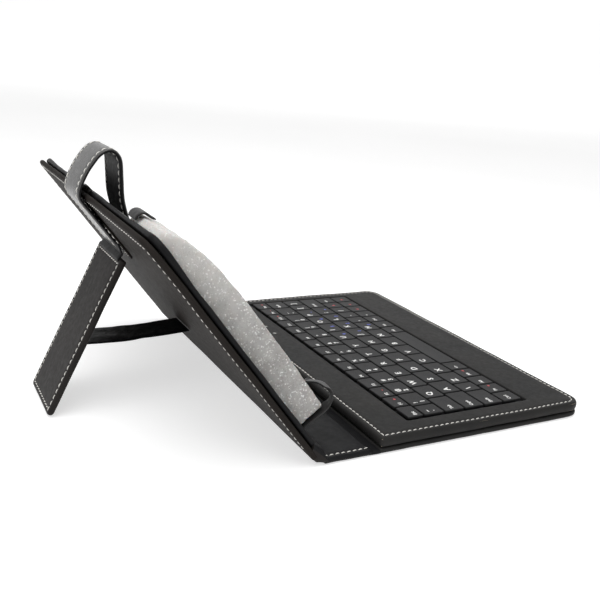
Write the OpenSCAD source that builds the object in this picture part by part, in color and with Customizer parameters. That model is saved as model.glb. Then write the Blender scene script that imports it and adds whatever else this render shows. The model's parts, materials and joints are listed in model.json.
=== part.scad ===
// Folio case for a seven-inch tablet, opened and standing on its kickstand.
// +X is the user's right, +Y runs from the user to the tablet cover, +Z is up.
// The origin is the middle of the keyboard panel's underside.

/* [Case] */
// Width of the case along X
case_w = 204; // [196:1:214]
// Depth of the keyboard panel from its free edge to its hinge edge
panel_d = 127; // [122:1:135]
// Length of the tablet cover from its fold to its top edge
cover_len = 128; // [124:1:135]
// Distance between the two fold lines, the closed thickness
spine_w = 28.8; // [28.8:0.2:36]
// Corner radius of the covers
corner_r = 9; // [5:1:14]
// Angle of the open cover from the table
tilt = 52; // [45:1:60]

/* [Layers] */
// Thickness of the leathercloth skin
skin_t = 0.5; // [0.4:0.1:0.6]
// Thickness of the stiffener board in each cover
board_t = 1.8; // [1.5:0.1:2.2]
// Width of the skin that is turned in over a board's edge
turn_in = 12; // [8:1:15]
// Height of the keyboard frame above the cover flap
frame_t = 4.8; // [4.6:0.1:5.2]
// Width of the skin that is turned in under the keyboard frame
frame_turn_in = 8; // [6:0.5:8]
// Open groove between the two layers of a panel
groove = 0.4; // [0.3:0.1:0.6]

/* [Keyboard] */
// Left edge of the key block
keys_left = -88.5; // [-90:0.5:-86]
// Back edge of the key block
keys_back = 39.7; // [38:0.1:41]
// Width of the key block
keys_w = 180.4; // [178:0.1:182]
// Depth of the function row
top_row_d = 9.9; // [9:0.1:11]
// Depth of each other row
row_d = 12.5; // [12:0.1:12.8]
// Gap between two keycaps
key_gap = 1.0; // [0.8:0.1:1.4]
// Travel of a key
key_travel = 0.9; // [0.6:0.1:0.9]

/* [Holder] */
// Thickness of the holder panel that carries the tablet
holder_t = 2.4; // [2:0.1:3]
// Width of the foam insert
foam_w = 186; // [176:1:188]
// Height of the foam insert above the fold at its lower edge
foam_low = 15; // [15:0.5:20]
// Height of the foam insert's upper corners above the fold
foam_high = 124; // [118:0.5:124]
// Thickness of the foam insert
foam_t = 13.2; // [9:0.1:13.2]
// Thickness of an elastic corner loop
elastic_t = 0.8; // [0.6:0.1:0.9]

/* [Kickstand] */
// Width of the kickstand leg
leg_w = 40; // [34:1:46]
// Length of the leg from its hinge to its foot
leg_len = 81.5; // [80:0.5:86]
// Thickness of the leg
leg_t = 3; // [2.6:0.1:3]
// Height of the leg's hinge above the fold, along the cover
leg_hinge_up = 96.5; // [94:0.5:98]
// Width of the ribbon stay
ribbon_w = 20; // [14:1:24]

/* [Strap] */
// Width of the closure strap
strap_w = 28; // [24:1:32]
// Thickness of the closure strap
strap_t = 1.4; // [1.2:0.1:1.6]

/* [Hidden] */
$fn = 48;
fit = 0.1;
clear = 0.3;
flap_t = board_t + 2 * skin_t;
frame_z = flap_t + groove;
frame_top = frame_z + frame_t;
panel_front = -panel_d / 2;
panel_back = panel_d / 2;
fold_front_y = panel_back + flap_t + 0.4;
fold_back_y = fold_front_y + spine_w;

// The spine plate stops short of each fold line so that it can turn up.
spine_start = fold_front_y + 0.5;
spine_end = fold_back_y - 3.2;
cover_start = 3.4;

// Keyboard module, from the tray up to the keycaps.
module_z = frame_z + 0.1;
tray_t = 0.6;
membrane_t = 0.3;
dome_sheet_t = 0.2;
dome_h = 0.5;
dome_z = module_z + tray_t + membrane_t;
dome_top = dome_z + dome_sheet_t + dome_h;
plate_t = 0.6;
plate_z = frame_top - 2.6;
cap_t = 1.3;
cap_z = plate_z + plate_t + key_travel + 0.1;
stem_w = 4;
stem_z = dome_top + key_travel + 0.1;
window_gap = 1.5;
window_x0 = keys_left - window_gap;
window_w = keys_w + 2 * window_gap;
keys_front = keys_back - top_row_d - 5 * row_d;
window_y0 = keys_front - window_gap;
window_d = keys_back - keys_front + 2 * window_gap;

// Relative key widths, row by row from the back, left to right.
function same(w, n) = [for (i = [1:n]) w];
ROWS = [
    same(12, 15),
    concat([10.5], same(14.3, 11), [13]),
    concat([15.8], same(14.4, 10), same(10, 2)),
    concat([18.2], same(14.4, 10), [17.6]),
    concat([16.6, 10.2], same(14.4, 7), same(10.4, 5)),
    concat(same(10.7, 5), [51.6], same(10.7, 7))
];
function total(v, n) = n == 0 ? 0 : v[n - 1] + total(v, n - 1);
function key_x(row, i) =
    keys_left + keys_w * total(ROWS[row], i) / total(ROWS[row], len(ROWS[row]));
function row_back(row) = keys_back - (row == 0 ? 0 : top_row_d + (row - 1) * row_d);
function row_depth(row) = row == 0 ? top_row_d : row_d;

// Electronics behind the keys.
pcb_x0 = 28;
pcb_w = 58;
pcb_y0 = 44.5;
pcb_d = 13;
pcb_z = module_z + 0.9;
pcb_t = 0.8;
led_y = 49.5;
led_x = [36.5, 49];
led_r = 0.9;
inlet_x = 80;
inlet_r = 1.5;
inlet_z = frame_z + 2.4;
inlet_len = 4.8;
inlet_bore_r = 1;
closure_plate_r = 7;
closure_plate_t = 0.8;
closure_plate_y = panel_front + 20;

// Holder, in the cover's own frame: y is up the cover, z is off its outer face.
holder_z = flap_t + groove + 0.1;
holder_face = holder_z + holder_t;
holder_low = 9;
holder_high = cover_len - 1.5;
holder_w = case_w - 3;
foam_back = holder_face + 0.1;
foam_front = foam_back + foam_t;
foam_dip = foam_high - 20;
foam_bend = foam_high - 48;
foam_corner_w = 37;
loop_in = foam_w / 2 - 1;
loop_bottom_w = 32;
loop_bottom_h = 10;
loop_top_w = 11;
loop_top_x = foam_w / 2 - 29;
foam_dip_front = foam_back + 5.5;
// Front face of the foam's raised corner, in the cover's own frame (up, off).
FOAM_CORNER = [
    [foam_high - 40, foam_front], [foam_high - 27, foam_front - 1.9], [foam_high - 17, foam_front - 3.1],
    [foam_high - 9, foam_front - 5.1], [foam_high, foam_front - 9.3]
];

// Leg: pitch below the horizontal at which its foot meets the table.
leg_hinge_off = -2.7;
hinge_y = fold_back_y + leg_hinge_up * cos(tilt) - leg_hinge_off * sin(tilt);
hinge_z = leg_hinge_up * sin(tilt) + leg_hinge_off * cos(tilt);
leg_half = leg_t / 2;
leg_pitch = asin(hinge_z / sqrt(leg_len * leg_len + leg_half * leg_half)) - atan(leg_half / leg_len);
leg_root = 1.5;
leg_roll_r = 1.2;
leg_turn_in = 6;
ribbon_up = 42;
ribbon_down_leg = 47;
ribbon_t = 0.8;

// Anchor patch and closure strap, in the cover's own frame (up, off).
patch_w = 40;
patch_low = 92;
patch_high = 114;
patch_t = 0.8;
strap_off = -1.9;
strap_root_low = 101;
STRAP_ROOT = [[strap_root_low, strap_off], [cover_len, strap_off]];
STRAP_MIDDLE = [[cover_len + 1.6, -1.5], [cover_len + 4.5, 1.5], [cover_len + 8, 8], [cover_len + 10, 14]];
STRAP_END = [
    [cover_len + 10.6, 17], [cover_len + 10.4, 20], [cover_len + 9, 22.4], [cover_len + 6, 23.3],
    [cover_len + 2.5, 22.2], [cover_len - 4, 17.6],
    [cover_len - 12, 12.6], [cover_len - 22, 8.5]
];
magnet = [8, 12, 0.7];

// ---- Shared shapes -------------------------------------------------------

// Outline with its round corners at y = 0 and square corners at y = d.
module flap_outline(w, d, r) {
    translate([-w / 2, r]) square([w, d - r]);
    translate([r - w / 2, 0]) square([w - 2 * r, r]);
    for (side = [-1, 1]) translate([side * (w / 2 - r), r]) circle(r);
}

module round_rect(w, d, r) {
    translate([r, 0]) square([w - 2 * r, d]);
    translate([0, r]) square([w, d - 2 * r]);
    for (x = [r, w - r], y = [r, d - r]) translate([x, y]) circle(r);
}

// A skin wrapped round a board: one closed face at z = 0, its edge turned in at z = t.
module wrap(w, d, t, r, s, turn) {
    difference() {
        linear_extrude(t) flap_outline(w, d, r);
        translate([0, s, s]) linear_extrude(t - 2 * s) flap_outline(w - 2 * s, d - 2 * s, r - s);
        translate([0, turn, t - 1.5 * s]) linear_extrude(2 * s) flap_outline(w - 2 * turn, d - 2 * turn, 3);
    }
}

module wrapped_board(w, d, t, r, s) {
    m = s + fit;
    translate([0, m, m]) linear_extrude(t - 2 * m) flap_outline(w - 2 * m, d - 2 * m, r - m);
}

// A profile drawn in (Y, Z), extruded along X.
module along_x(w, at = 0) {
    translate([at, 0, 0]) rotate([90, 0, 90]) translate([0, 0, -w / 2]) linear_extrude(w) children();
}

// The cover's frame: y up the cover, z off its outer face towards the tablet.
module on_cover() {
    translate([0, fold_back_y, 0]) rotate([tilt, 0, 0]) children();
}

// The leg's frame: y down the leg from its hinge, z out from its outer face.
module on_leg() {
    translate([0, hinge_y, hinge_z]) rotate([-leg_pitch, 0, 0]) children();
}

function unit(v) = v / norm(v);
function side_of(p, i) =
    let (a = p[max(i - 1, 0)], b = p[min(i + 1, len(p) - 1)], d = unit(b - a)) [-d[1], d[0]];

// A band of even thickness along a list of (Y, Z) points.
module band(points, t) {
    last = len(points) - 1;
    polygon(concat(
        [for (i = [0:last]) points[i] + side_of(points, i) * t / 2],
        [for (i = [last:-1:0]) points[i] - side_of(points, i) * t / 2]
    ));
}

function bend(a, b, c, s) = (1 - s) * (1 - s) * a + 2 * s * (1 - s) * b + s * s * c;
function cover_point(up, off) =
    [fold_back_y + up * cos(tilt) - off * sin(tilt), up * sin(tilt) + off * cos(tilt)];
function leg_point(down, off) =
    [hinge_y + down * cos(leg_pitch) + off * sin(leg_pitch), hinge_z - down * sin(leg_pitch) + off * cos(leg_pitch)];

// ---- Keyboard panel ------------------------------------------------------

module front_cover_skin() {
    color("#151517") translate([0, panel_front, 0])
        wrap(case_w, panel_d, flap_t, corner_r, skin_t, turn_in);
}

module front_cover_board() {
    color("#8c8272") difference() {
        translate([0, panel_front, 0]) wrapped_board(case_w, panel_d, flap_t, corner_r, skin_t);
        translate([0, closure_plate_y, -1]) cylinder(r = closure_plate_r + fit, h = 1 + skin_t + fit + closure_plate_t + fit);
    }
}

module closure_plate() {
    color("#a0a2a6") translate([0, closure_plate_y, skin_t + fit])
        cylinder(r = closure_plate_r, h = closure_plate_t);
}

module key_window(grow) {
    translate([window_x0 - grow, window_y0 - grow])
        round_rect(window_w + 2 * grow, window_d + 2 * grow, 1);
}

module inlet_hole(r) {
    translate([inlet_x, panel_back + 1, inlet_z]) rotate([90, 0, 0]) cylinder(r = r, h = inlet_len + 1.2);
}

module keyboard_frame_skin() {
    color("#19191b") difference() {
        translate([0, panel_front, frame_z + frame_t]) mirror([0, 0, 1])
            wrap(case_w, panel_d, frame_t, corner_r, skin_t, frame_turn_in);
        translate([0, 0, frame_top - 1.5 * skin_t]) linear_extrude(2 * skin_t) key_window(0);
        for (x = led_x) translate([x, led_y, frame_top - 2]) cylinder(r = led_r + fit, h = 3);
        inlet_hole(inlet_r + fit);
    }
}

module keyboard_frame_board() {
    color("#8c8272") difference() {
        translate([0, panel_front, frame_z]) wrapped_board(case_w, panel_d, frame_t, corner_r, skin_t);
        translate([0, 0, frame_z]) linear_extrude(frame_t) key_window(0);
        translate([pcb_x0 - 1, pcb_y0 - 1, frame_z]) cube([pcb_w + 2, pcb_d + 2, frame_t - 1.4]);
        for (x = led_x) translate([x, led_y, frame_top - 3]) cylinder(r = led_r + fit, h = 3);
        inlet_hole(inlet_r + fit);
    }
}

module keyboard_tray() {
    rim = 0.6;
    color("#1c1c1e") translate([0, 0, module_z]) difference() {
        linear_extrude(plate_z - module_z - fit) key_window(-fit);
        translate([0, 0, tray_t]) linear_extrude(frame_t) key_window(-fit - rim);
    }
}

module membrane_circuit() {
    color("#c9cfc6") translate([0, 0, module_z + tray_t]) linear_extrude(membrane_t) key_window(-1);
}

module each_key_centre() {
    for (row = [0:len(ROWS) - 1], i = [0:len(ROWS[row]) - 1])
        translate([(key_x(row, i) + key_x(row, i + 1)) / 2, row_back(row) - row_depth(row) / 2]) children();
}

module rubber_dome_sheet() {
    color("#d8d8d2") translate([0, 0, dome_z]) {
        linear_extrude(dome_sheet_t) key_window(-1);
        linear_extrude(dome_sheet_t + dome_h) each_key_centre() circle(2.4);
    }
}

module key_guide_plate() {
    color("#121214") translate([0, 0, plate_z]) linear_extrude(plate_t) difference() {
        key_window(-fit);
        each_key_centre() square(stem_w + 2 * clear, center = true);
    }
}

module controller_board() {
    color("#1f5a3a") translate([pcb_x0, pcb_y0, pcb_z]) linear_extrude(pcb_t) round_rect(pcb_w, pcb_d, 1);
}

module controller_chips() {
    color("#222224") translate([pcb_x0, pcb_y0, pcb_z + pcb_t]) {
        translate([26, 2.5, 0]) cube([7, 7, 1]);
        translate([38, 4, 0]) cube([5, 4, 0.9]);
        translate([13, 7.5, 0]) cube([4.5, 2, 0.8]);
    }
}

module status_lights() {
    color("#3a4a30") for (x = led_x)
        translate([x, led_y, pcb_z + pcb_t]) cylinder(r = led_r, h = frame_top + 0.05 - pcb_z - pcb_t);
}

module lead_grommet() {
    color("#101012") translate([inlet_x, panel_back - 0.1, inlet_z]) rotate([90, 0, 0]) difference() {
        cylinder(r = inlet_r, h = inlet_len);
        translate([0, 0, -1]) cylinder(r = inlet_bore_r, h = 3.5);
    }
}

module front_hinge_strip() {
    w = spine_start - panel_back - 2 * fit;
    color("#151517") translate([1 - case_w / 2, panel_back + fit, 0]) cube([case_w - 2, w, skin_t]);
}

// ---- Keys ----------------------------------------------------------------

module key(row, i) {
    x0 = key_x(row, i) + key_gap / 2;
    w = key_x(row, i + 1) - key_x(row, i) - key_gap;
    d = row_depth(row) - key_gap;
    y0 = row_back(row) - row_depth(row) + key_gap / 2;
    translate([x0, y0, cap_z]) linear_extrude(cap_t) round_rect(w, d, 0.8);
    translate([x0 + w / 2 - stem_w / 2, y0 + d / 2 - stem_w / 2, stem_z]) cube([stem_w, stem_w, cap_z - stem_z]);
}

module keys(row, first, last) {
    color("#1e1e20") for (i = [first:last]) key(row, i);
}

// ---- Spine ---------------------------------------------------------------

module spine_plate(z, t, inset) {
    translate([inset - case_w / 2, spine_start + inset, z])
        cube([case_w - 2 * inset, spine_end - spine_start - 2 * inset, t]);
}

module spine_skin() {
    color("#151517") difference() {
        spine_plate(0, flap_t - skin_t, 1);
        spine_plate(skin_t, flap_t, 1 + skin_t);
    }
}

module spine_board() {
    color("#8c8272") spine_plate(skin_t + fit, board_t - 2 * fit, 1 + skin_t + fit);
}

module spine_lining() {
    color("#17171a") spine_plate(flap_t - skin_t, skin_t, 1);
}

module rear_hinge_strip() {
    r = (fold_back_y - spine_end) / tan(tilt / 2);
    steps = 8;
    points = [for (i = [0:steps]) let (a = tilt * i / steps)
        [spine_end + fit + (r - skin_t / 2) * sin(a), r - (r - skin_t / 2) * cos(a)]];
    color("#151517") along_x(case_w - 2) band(points, skin_t - fit);
}

module rear_lining_strip() {
    a = [spine_end + clear, flap_t - skin_t / 2];
    c = cover_point(holder_low - clear, holder_face - skin_t / 2);
    b = [c[0] - (c[1] - a[1]) / tan(tilt), a[1]];
    steps = 8;
    color("#17171a") along_x(case_w - 6) band([for (i = [0:steps]) bend(a, b, c, i / steps)], skin_t);
}

// ---- Back cover ----------------------------------------------------------

// Turns a flap outline so that its round corners are at the top.
module top_down(top) {
    translate([0, top, 0]) mirror([0, 1, 0]) children();
}

module back_cover_skin() {
    color("#1b1a1a") on_cover() top_down(cover_len)
        wrap(case_w, cover_len - cover_start, flap_t, corner_r, skin_t, turn_in);
}

module back_cover_board() {
    color("#8c8272") on_cover() top_down(cover_len)
        wrapped_board(case_w, cover_len - cover_start, flap_t, corner_r, skin_t);
}

module holder_skin() {
    color("#17171a") on_cover() translate([0, 0, holder_face]) mirror([0, 0, 1]) top_down(holder_high)
        wrap(holder_w, holder_high - holder_low, holder_t, corner_r - 1, skin_t - fit, turn_in);
}

module holder_board() {
    color("#8c8272") on_cover() translate([0, 0, holder_z]) top_down(holder_high)
        wrapped_board(holder_w, holder_high - holder_low, holder_t, corner_r - 1, skin_t - fit);
}

// An elastic band hooked over one edge of the foam, drawn as an L.
module corner_loop(edge, out, front, h) {
    polygon([
        [edge, foam_back], [edge, front + elastic_t], [edge - out * h, front + elastic_t],
        [edge - out * h, front], [edge - out * elastic_t, front], [edge - out * elastic_t, foam_back]
    ]);
}

module bottom_loop(side) {
    color("#0e0e10") on_cover()
        along_x(loop_bottom_w, side * (loop_in - loop_bottom_w / 2))
            corner_loop(foam_low - 0.1 - elastic_t, -1, foam_front + 0.1, loop_bottom_h);
}

// Hooked over the foam's raised corner.
module top_left_loop() {
    g = 0.2 + elastic_t / 2;
    color("#0e0e10") on_cover() along_x(loop_top_w, -loop_top_x) band([
        [foam_high + g, foam_back], FOAM_CORNER[4] + [g, g], FOAM_CORNER[3] + [0.5 * g, g + 0.2],
        FOAM_CORNER[3] + [-3, 1.3 + g]
    ], elastic_t);
}

// Slack: it lies flat on the holder, beyond the foam.
module top_right_loop() {
    color("#0e0e10") on_cover() translate([loop_top_x - loop_top_w / 2, foam_dip + 1, foam_back])
        cube([loop_top_w, foam_high - foam_dip - 2, elastic_t]);
}

module bottom_left_loop() { bottom_loop(-1); }
module bottom_right_loop() { bottom_loop(1); }

module foam_insert() {
    color("#dcdcda") on_cover() {
        along_x(foam_w) polygon([
            [foam_low, foam_back], [foam_low, foam_front], [foam_bend, foam_front],
            [foam_dip, foam_dip_front], [foam_dip, foam_back]
        ]);
        along_x(foam_corner_w, (foam_corner_w - foam_w) / 2) polygon(concat(
            [[foam_bend - 1, foam_back], [foam_bend - 1, foam_front]], FOAM_CORNER, [[foam_high, foam_back]]
        ));
    }
}

module anchor_patch() {
    color("#1b1a1a") on_cover() translate([-patch_w / 2, patch_low, -patch_t - fit])
        linear_extrude(patch_t) round_rect(patch_w, patch_high - patch_low, 3);
}

module strap_root() {
    color("#19191b") on_cover() along_x(strap_w) band(STRAP_ROOT, strap_t);
}

// ---- Kickstand -----------------------------------------------------------

// Turned so that the closed face of the skin is the leg's outer face.
module in_leg() {
    on_leg() translate([0, leg_root, leg_half]) mirror([0, 0, 1]) top_down(leg_len - leg_root) children();
}

module leg_skin() {
    color("#1b1a1a") in_leg() wrap(leg_w, leg_len - leg_root, leg_t, 2.5, skin_t, leg_turn_in);
}

module leg_board() {
    color("#8c8272") in_leg() wrapped_board(leg_w, leg_len - leg_root, leg_t, 2.5, skin_t);
}

// Lining that fills the window of the turned-in skin, on the side that faces the cover.
module leg_lining() {
    m = leg_turn_in + fit;
    color("#17171a") in_leg() translate([0, m, leg_t - skin_t]) linear_extrude(skin_t - fit)
        flap_outline(leg_w - 2 * m, leg_len - leg_root - 2 * m, 2.8);
}

module leg_hinge_roll() {
    color("#1b1a1a") on_leg() rotate([0, 90, 0]) cylinder(r = leg_roll_r, h = leg_w, center = true);
}

module ribbon_stay() {
    start = cover_point(ribbon_up, -clear - 0.2);
    end = leg_point(ribbon_down_leg, -leg_half - clear - 0.2);
    color("#111113") along_x(ribbon_w) band([start, end], ribbon_t);
}

// ---- Closure strap -------------------------------------------------------

module strap_middle() {
    color("#19191b") on_cover() along_x(strap_w) band(STRAP_MIDDLE, strap_t);
}

// A slim box inside the last straight stretch of the strap's end.
module magnet_box(grow) {
    last = len(STRAP_END) - 1;
    run = STRAP_END[last] - STRAP_END[last - 1];
    centre = STRAP_END[last] - unit(run) * 5;
    translate([0, centre[0], centre[1]]) rotate([atan2(run[1], run[0]), 0, 0])
        cube([magnet[1], magnet[0], magnet[2]] + [grow, grow, grow / 2], center = true);
}

module strap_end() {
    color("#19191b") on_cover() difference() {
        along_x(strap_w) band(STRAP_END, strap_t);
        magnet_box(fit);
    }
}

module strap_magnet() {
    color("#9a9ca0") on_cover() magnet_box(0);
}

// ---- Nodes ---------------------------------------------------------------

front_cover_skin();
front_cover_board();
closure_plate();
keyboard_frame_skin();
keyboard_frame_board();
keyboard_tray();
membrane_circuit();
rubber_dome_sheet();
key_guide_plate();
controller_board();
controller_chips();
status_lights();
lead_grommet();
front_hinge_strip();
keys(0, 0, 0);  // escape_key
keys(0, 1, 14);  // function_keys
keys(1, 0, 11);  // number_keys
keys(1, 12, 12);  // backspace_key
keys(2, 0, 0);  // tab_key
keys(2, 1, 12);  // upper_letter_keys
keys(3, 0, 0);  // caps_lock_key
keys(3, 1, 10);  // home_letter_keys
keys(3, 11, 11);  // enter_key
keys(4, 0, 0);  // left_shift_key
keys(4, 1, 11);  // lower_letter_keys
keys(4, 12, 12);  // up_arrow_key
keys(4, 13, 13);  // right_shift_key
keys(5, 0, 4);  // modifier_keys
keys(5, 5, 5);  // space_bar
keys(5, 6, 9);  // command_keys
keys(5, 10, 10);  // left_arrow_key
keys(5, 11, 11);  // down_arrow_key
keys(5, 12, 12);  // right_arrow_key
spine_skin();
spine_board();
spine_lining();
rear_hinge_strip();
rear_lining_strip();
back_cover_skin();
back_cover_board();
holder_skin();
holder_board();
bottom_left_loop();
bottom_right_loop();
top_left_loop();
top_right_loop();
foam_insert();
anchor_patch();
strap_root();
leg_skin();
leg_board();
leg_lining();
leg_hinge_roll();
ribbon_stay();
strap_middle();
strap_end();
strap_magnet();
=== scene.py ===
"""A folio case with a keyboard for a seven-inch tablet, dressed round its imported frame."""

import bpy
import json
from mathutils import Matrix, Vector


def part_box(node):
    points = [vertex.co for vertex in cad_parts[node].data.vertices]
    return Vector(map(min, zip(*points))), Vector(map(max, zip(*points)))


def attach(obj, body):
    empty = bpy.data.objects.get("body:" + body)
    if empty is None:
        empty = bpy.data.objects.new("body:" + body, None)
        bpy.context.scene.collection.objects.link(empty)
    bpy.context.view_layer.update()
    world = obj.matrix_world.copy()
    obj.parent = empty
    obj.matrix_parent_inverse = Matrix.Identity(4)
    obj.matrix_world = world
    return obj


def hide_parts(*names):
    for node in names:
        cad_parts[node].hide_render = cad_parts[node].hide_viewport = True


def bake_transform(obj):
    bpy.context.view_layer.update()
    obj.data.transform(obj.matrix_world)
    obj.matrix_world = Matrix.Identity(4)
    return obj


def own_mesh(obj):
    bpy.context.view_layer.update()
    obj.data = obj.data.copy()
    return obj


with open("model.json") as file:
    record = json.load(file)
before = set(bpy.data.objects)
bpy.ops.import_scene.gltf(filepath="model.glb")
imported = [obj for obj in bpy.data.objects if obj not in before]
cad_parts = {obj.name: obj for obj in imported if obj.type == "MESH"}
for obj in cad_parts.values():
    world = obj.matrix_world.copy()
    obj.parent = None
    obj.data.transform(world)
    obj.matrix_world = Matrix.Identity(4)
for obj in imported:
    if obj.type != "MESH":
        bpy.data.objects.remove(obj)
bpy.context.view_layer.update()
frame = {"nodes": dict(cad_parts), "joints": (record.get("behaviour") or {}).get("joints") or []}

import json
import logging
import math
from dataclasses import dataclass, field
from enum import Enum
from typing import Callable, Iterable, Protocol, Sequence

import bmesh
import bpy
from mathutils import Matrix, Vector, noise

LOG = logging.getLogger("folio_case")
MM = 0.001
STILL = Matrix.Identity(4)
STITCH_SHARP = 80.0

Shape = Callable[[Vector], Vector]
Seat = tuple[Vector, Vector]


# ---- Measures taken from the frame -----------------------------------------


def box_mm(node: str) -> tuple[Vector, Vector]:
    """Gives a node's box in millimetres.

    Args:
        node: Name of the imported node.

    Returns:
        Its lowest and highest corners.
    """
    low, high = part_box(node)
    return low / MM, high / MM


def joint_named(name: str) -> dict:
    """Finds one of the frame's joints by its name."""
    return next(joint for joint in frame["joints"] if joint["name"] == name)


def joint_point(name: str) -> Vector:
    """Gives the point that a joint turns about, in millimetres."""
    return Vector(joint_named(name)["pos_m"]) / MM


CASE_LOW, CASE_HIGH = box_mm("front_cover_skin")
HALF_W = CASE_HIGH.x
FLAP_T = CASE_HIGH.z
FRONT_FOLD = joint_point("front_fold")
BACK_FOLD = joint_point("back_fold")
LEG_HINGE = joint_point("leg_fold")
COVER_TOP = 128.0
COVER_TILT = math.radians(52.0)
LEG_LENGTH = 81.5
LEG_THICK = 3.0
# The pitch at which the foot's outer edge stands on the table.
LEG_REACH = math.hypot(LEG_LENGTH, LEG_THICK / 2)
LEG_PITCH = math.asin(LEG_HINGE.z / LEG_REACH) - math.atan(LEG_THICK / 2 / LEG_LENGTH)

# The cover's own frame: x across, y up the cover, z off its outer face.
COVER = Matrix.Translation(BACK_FOLD) @ Matrix.Rotation(COVER_TILT, 4, "X")
# The leg's own frame: x across, y down the leg, z out from its outer face.
LEG = Matrix.Translation(LEG_HINGE) @ Matrix.Rotation(-LEG_PITCH, 4, "X")


# ---- Finishes ----------------------------------------------------------------


def linear_colour(code: str) -> tuple[float, float, float, float]:
    """Turns an sRGB hex colour into linear values.

    Args:
        code: Six hex digits after a hash sign.

    Returns:
        Red, green, blue and an alpha of 1.
    """
    parts = [int(code[i : i + 2], 16) / 255 for i in (1, 3, 5)]
    return (*[c / 12.92 if c <= 0.04045 else ((c + 0.055) / 1.055) ** 2.4 for c in parts], 1.0)


def add_node(
    tree: bpy.types.NodeTree, kind: str, settings: dict | None = None, inputs: dict | None = None
) -> bpy.types.Node:
    """Adds one shader node.

    Args:
        tree: Node tree that takes it.
        kind: Blender's type name of the node.
        settings: Attributes to set on the node.
        inputs: Values or output sockets for its inputs, by name or number.

    Returns:
        The new node.
    """
    node = tree.nodes.new(kind)
    for name, value in (settings or {}).items():
        setattr(node, name, value)
    for name, value in (inputs or {}).items():
        if isinstance(value, bpy.types.NodeSocket):
            tree.links.new(value, node.inputs[name])
        else:
            node.inputs[name].default_value = value
    return node


def per_metre(size_mm: float) -> float:
    """Gives the texture scale at which one cell has this size in millimetres."""
    return 1 / (size_mm * MM)


@dataclass
class Recipe:
    """A new material with its shader, and the surface position that patterns follow."""

    name: str
    material: bpy.types.Material = field(init=False)
    tree: bpy.types.NodeTree = field(init=False)
    shader: bpy.types.Node = field(init=False)
    where: bpy.types.NodeSocket = field(init=False)

    def __post_init__(self) -> None:
        """Starts the material with one principled shader."""
        self.material = bpy.data.materials.new(self.name)
        self.material.use_nodes = True
        self.tree = self.material.node_tree
        self.tree.nodes.clear()
        self.shader = add_node(self.tree, "ShaderNodeBsdfPrincipled")
        add_node(self.tree, "ShaderNodeOutputMaterial", inputs={"Surface": self.shader.outputs[0]})
        self.where = add_node(self.tree, "ShaderNodeTexCoord").outputs["Object"]

    def set(self, **values: float) -> None:
        """Sets even values on the shader, named with underscores for spaces."""
        for name, value in values.items():
            self.shader.inputs[name.replace("_", " ")].default_value = value

    def clouds(
        self, size_mm: float, detail: float = 2.0, stretch: tuple[float, float, float] = (1, 1, 1)
    ) -> bpy.types.NodeSocket:
        """Makes a soft noise.

        Args:
            size_mm: Size of one cloud.
            detail: Number of finer layers.
            stretch: Scale of the pattern along each axis.

        Returns:
            The noise, from 0 to 1.
        """
        place = add_node(self.tree, "ShaderNodeMapping", inputs={"Vector": self.where, "Scale": stretch})
        made = add_node(
            self.tree, "ShaderNodeTexNoise",
            inputs={
                "Vector": place.outputs[0],
                "Scale": per_metre(size_mm),
                "Detail": detail,
                "Roughness": 0.55,
            },
        )
        return made.outputs["Fac"]

    def cells(self, size_mm: float, feature: str = "F1") -> bpy.types.Node:
        """Makes a cell pattern with cells of this size."""
        return add_node(
            self.tree, "ShaderNodeTexVoronoi", {"feature": feature},
            {"Vector": self.where, "Scale": per_metre(size_mm)},
        )

    def threads(self, spacing_mm: float, direction: str) -> bpy.types.NodeSocket:
        """Makes parallel ribs across one axis, one rib for each thread."""
        ribs = add_node(
            self.tree, "ShaderNodeTexWave", {"bands_direction": direction},
            {"Vector": self.where, "Scale": per_metre(spacing_mm) / 20, "Distortion": 0.6, "Detail": 1.0},
        )
        return ribs.outputs["Fac"]

    def spread(
        self, value: bpy.types.NodeSocket, low: float, high: float, first: float = 0.3, last: float = 0.7
    ) -> bpy.types.NodeSocket:
        """Maps a pattern to a new range.

        Args:
            value: The pattern.
            low: What the pattern's first value becomes.
            high: What its last value becomes.
            first: Value of the pattern where the range starts.
            last: Value of the pattern where it ends.

        Returns:
            The mapped pattern.
        """
        made = add_node(
            self.tree, "ShaderNodeMapRange",
            inputs={"Value": value, "From Min": first, "From Max": last, "To Min": low, "To Max": high},
        )
        return made.outputs[0]

    def tint(
        self, share: bpy.types.NodeSocket, first: bpy.types.NodeSocket | str, second: str
    ) -> bpy.types.NodeSocket:
        """Mixes two colours.

        Args:
            share: Share of the second colour.
            first: A hex colour, or the socket of an earlier mix.
            second: A hex colour.

        Returns:
            The mixed colour.
        """
        start = linear_colour(first) if isinstance(first, str) else first
        made = add_node(
            self.tree, "ShaderNodeMix", {"data_type": "RGBA"}, {0: share, 6: start, 7: linear_colour(second)}
        )
        return made.outputs[2]

    def colour(self, value: bpy.types.NodeSocket) -> None:
        """Sets the base colour from a pattern."""
        self.tree.links.new(value, self.shader.inputs["Base Color"])

    def roughness(self, value: bpy.types.NodeSocket) -> None:
        """Sets the roughness from a pattern."""
        self.tree.links.new(value, self.shader.inputs["Roughness"])

    def relief(self, layers: Sequence[tuple[bpy.types.NodeSocket, float]]) -> None:
        """Stacks bumps on the surface.

        Args:
            layers: Each pattern with the height in millimetres of its full range.
        """
        normal = None
        for pattern, height_mm in layers:
            inputs = {"Height": pattern, "Distance": height_mm * MM, "Strength": 1.0}
            if normal is not None:
                inputs["Normal"] = normal
            normal = add_node(self.tree, "ShaderNodeBump", inputs=inputs).outputs[0]
        self.tree.links.new(normal, self.shader.inputs["Normal"])


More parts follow.
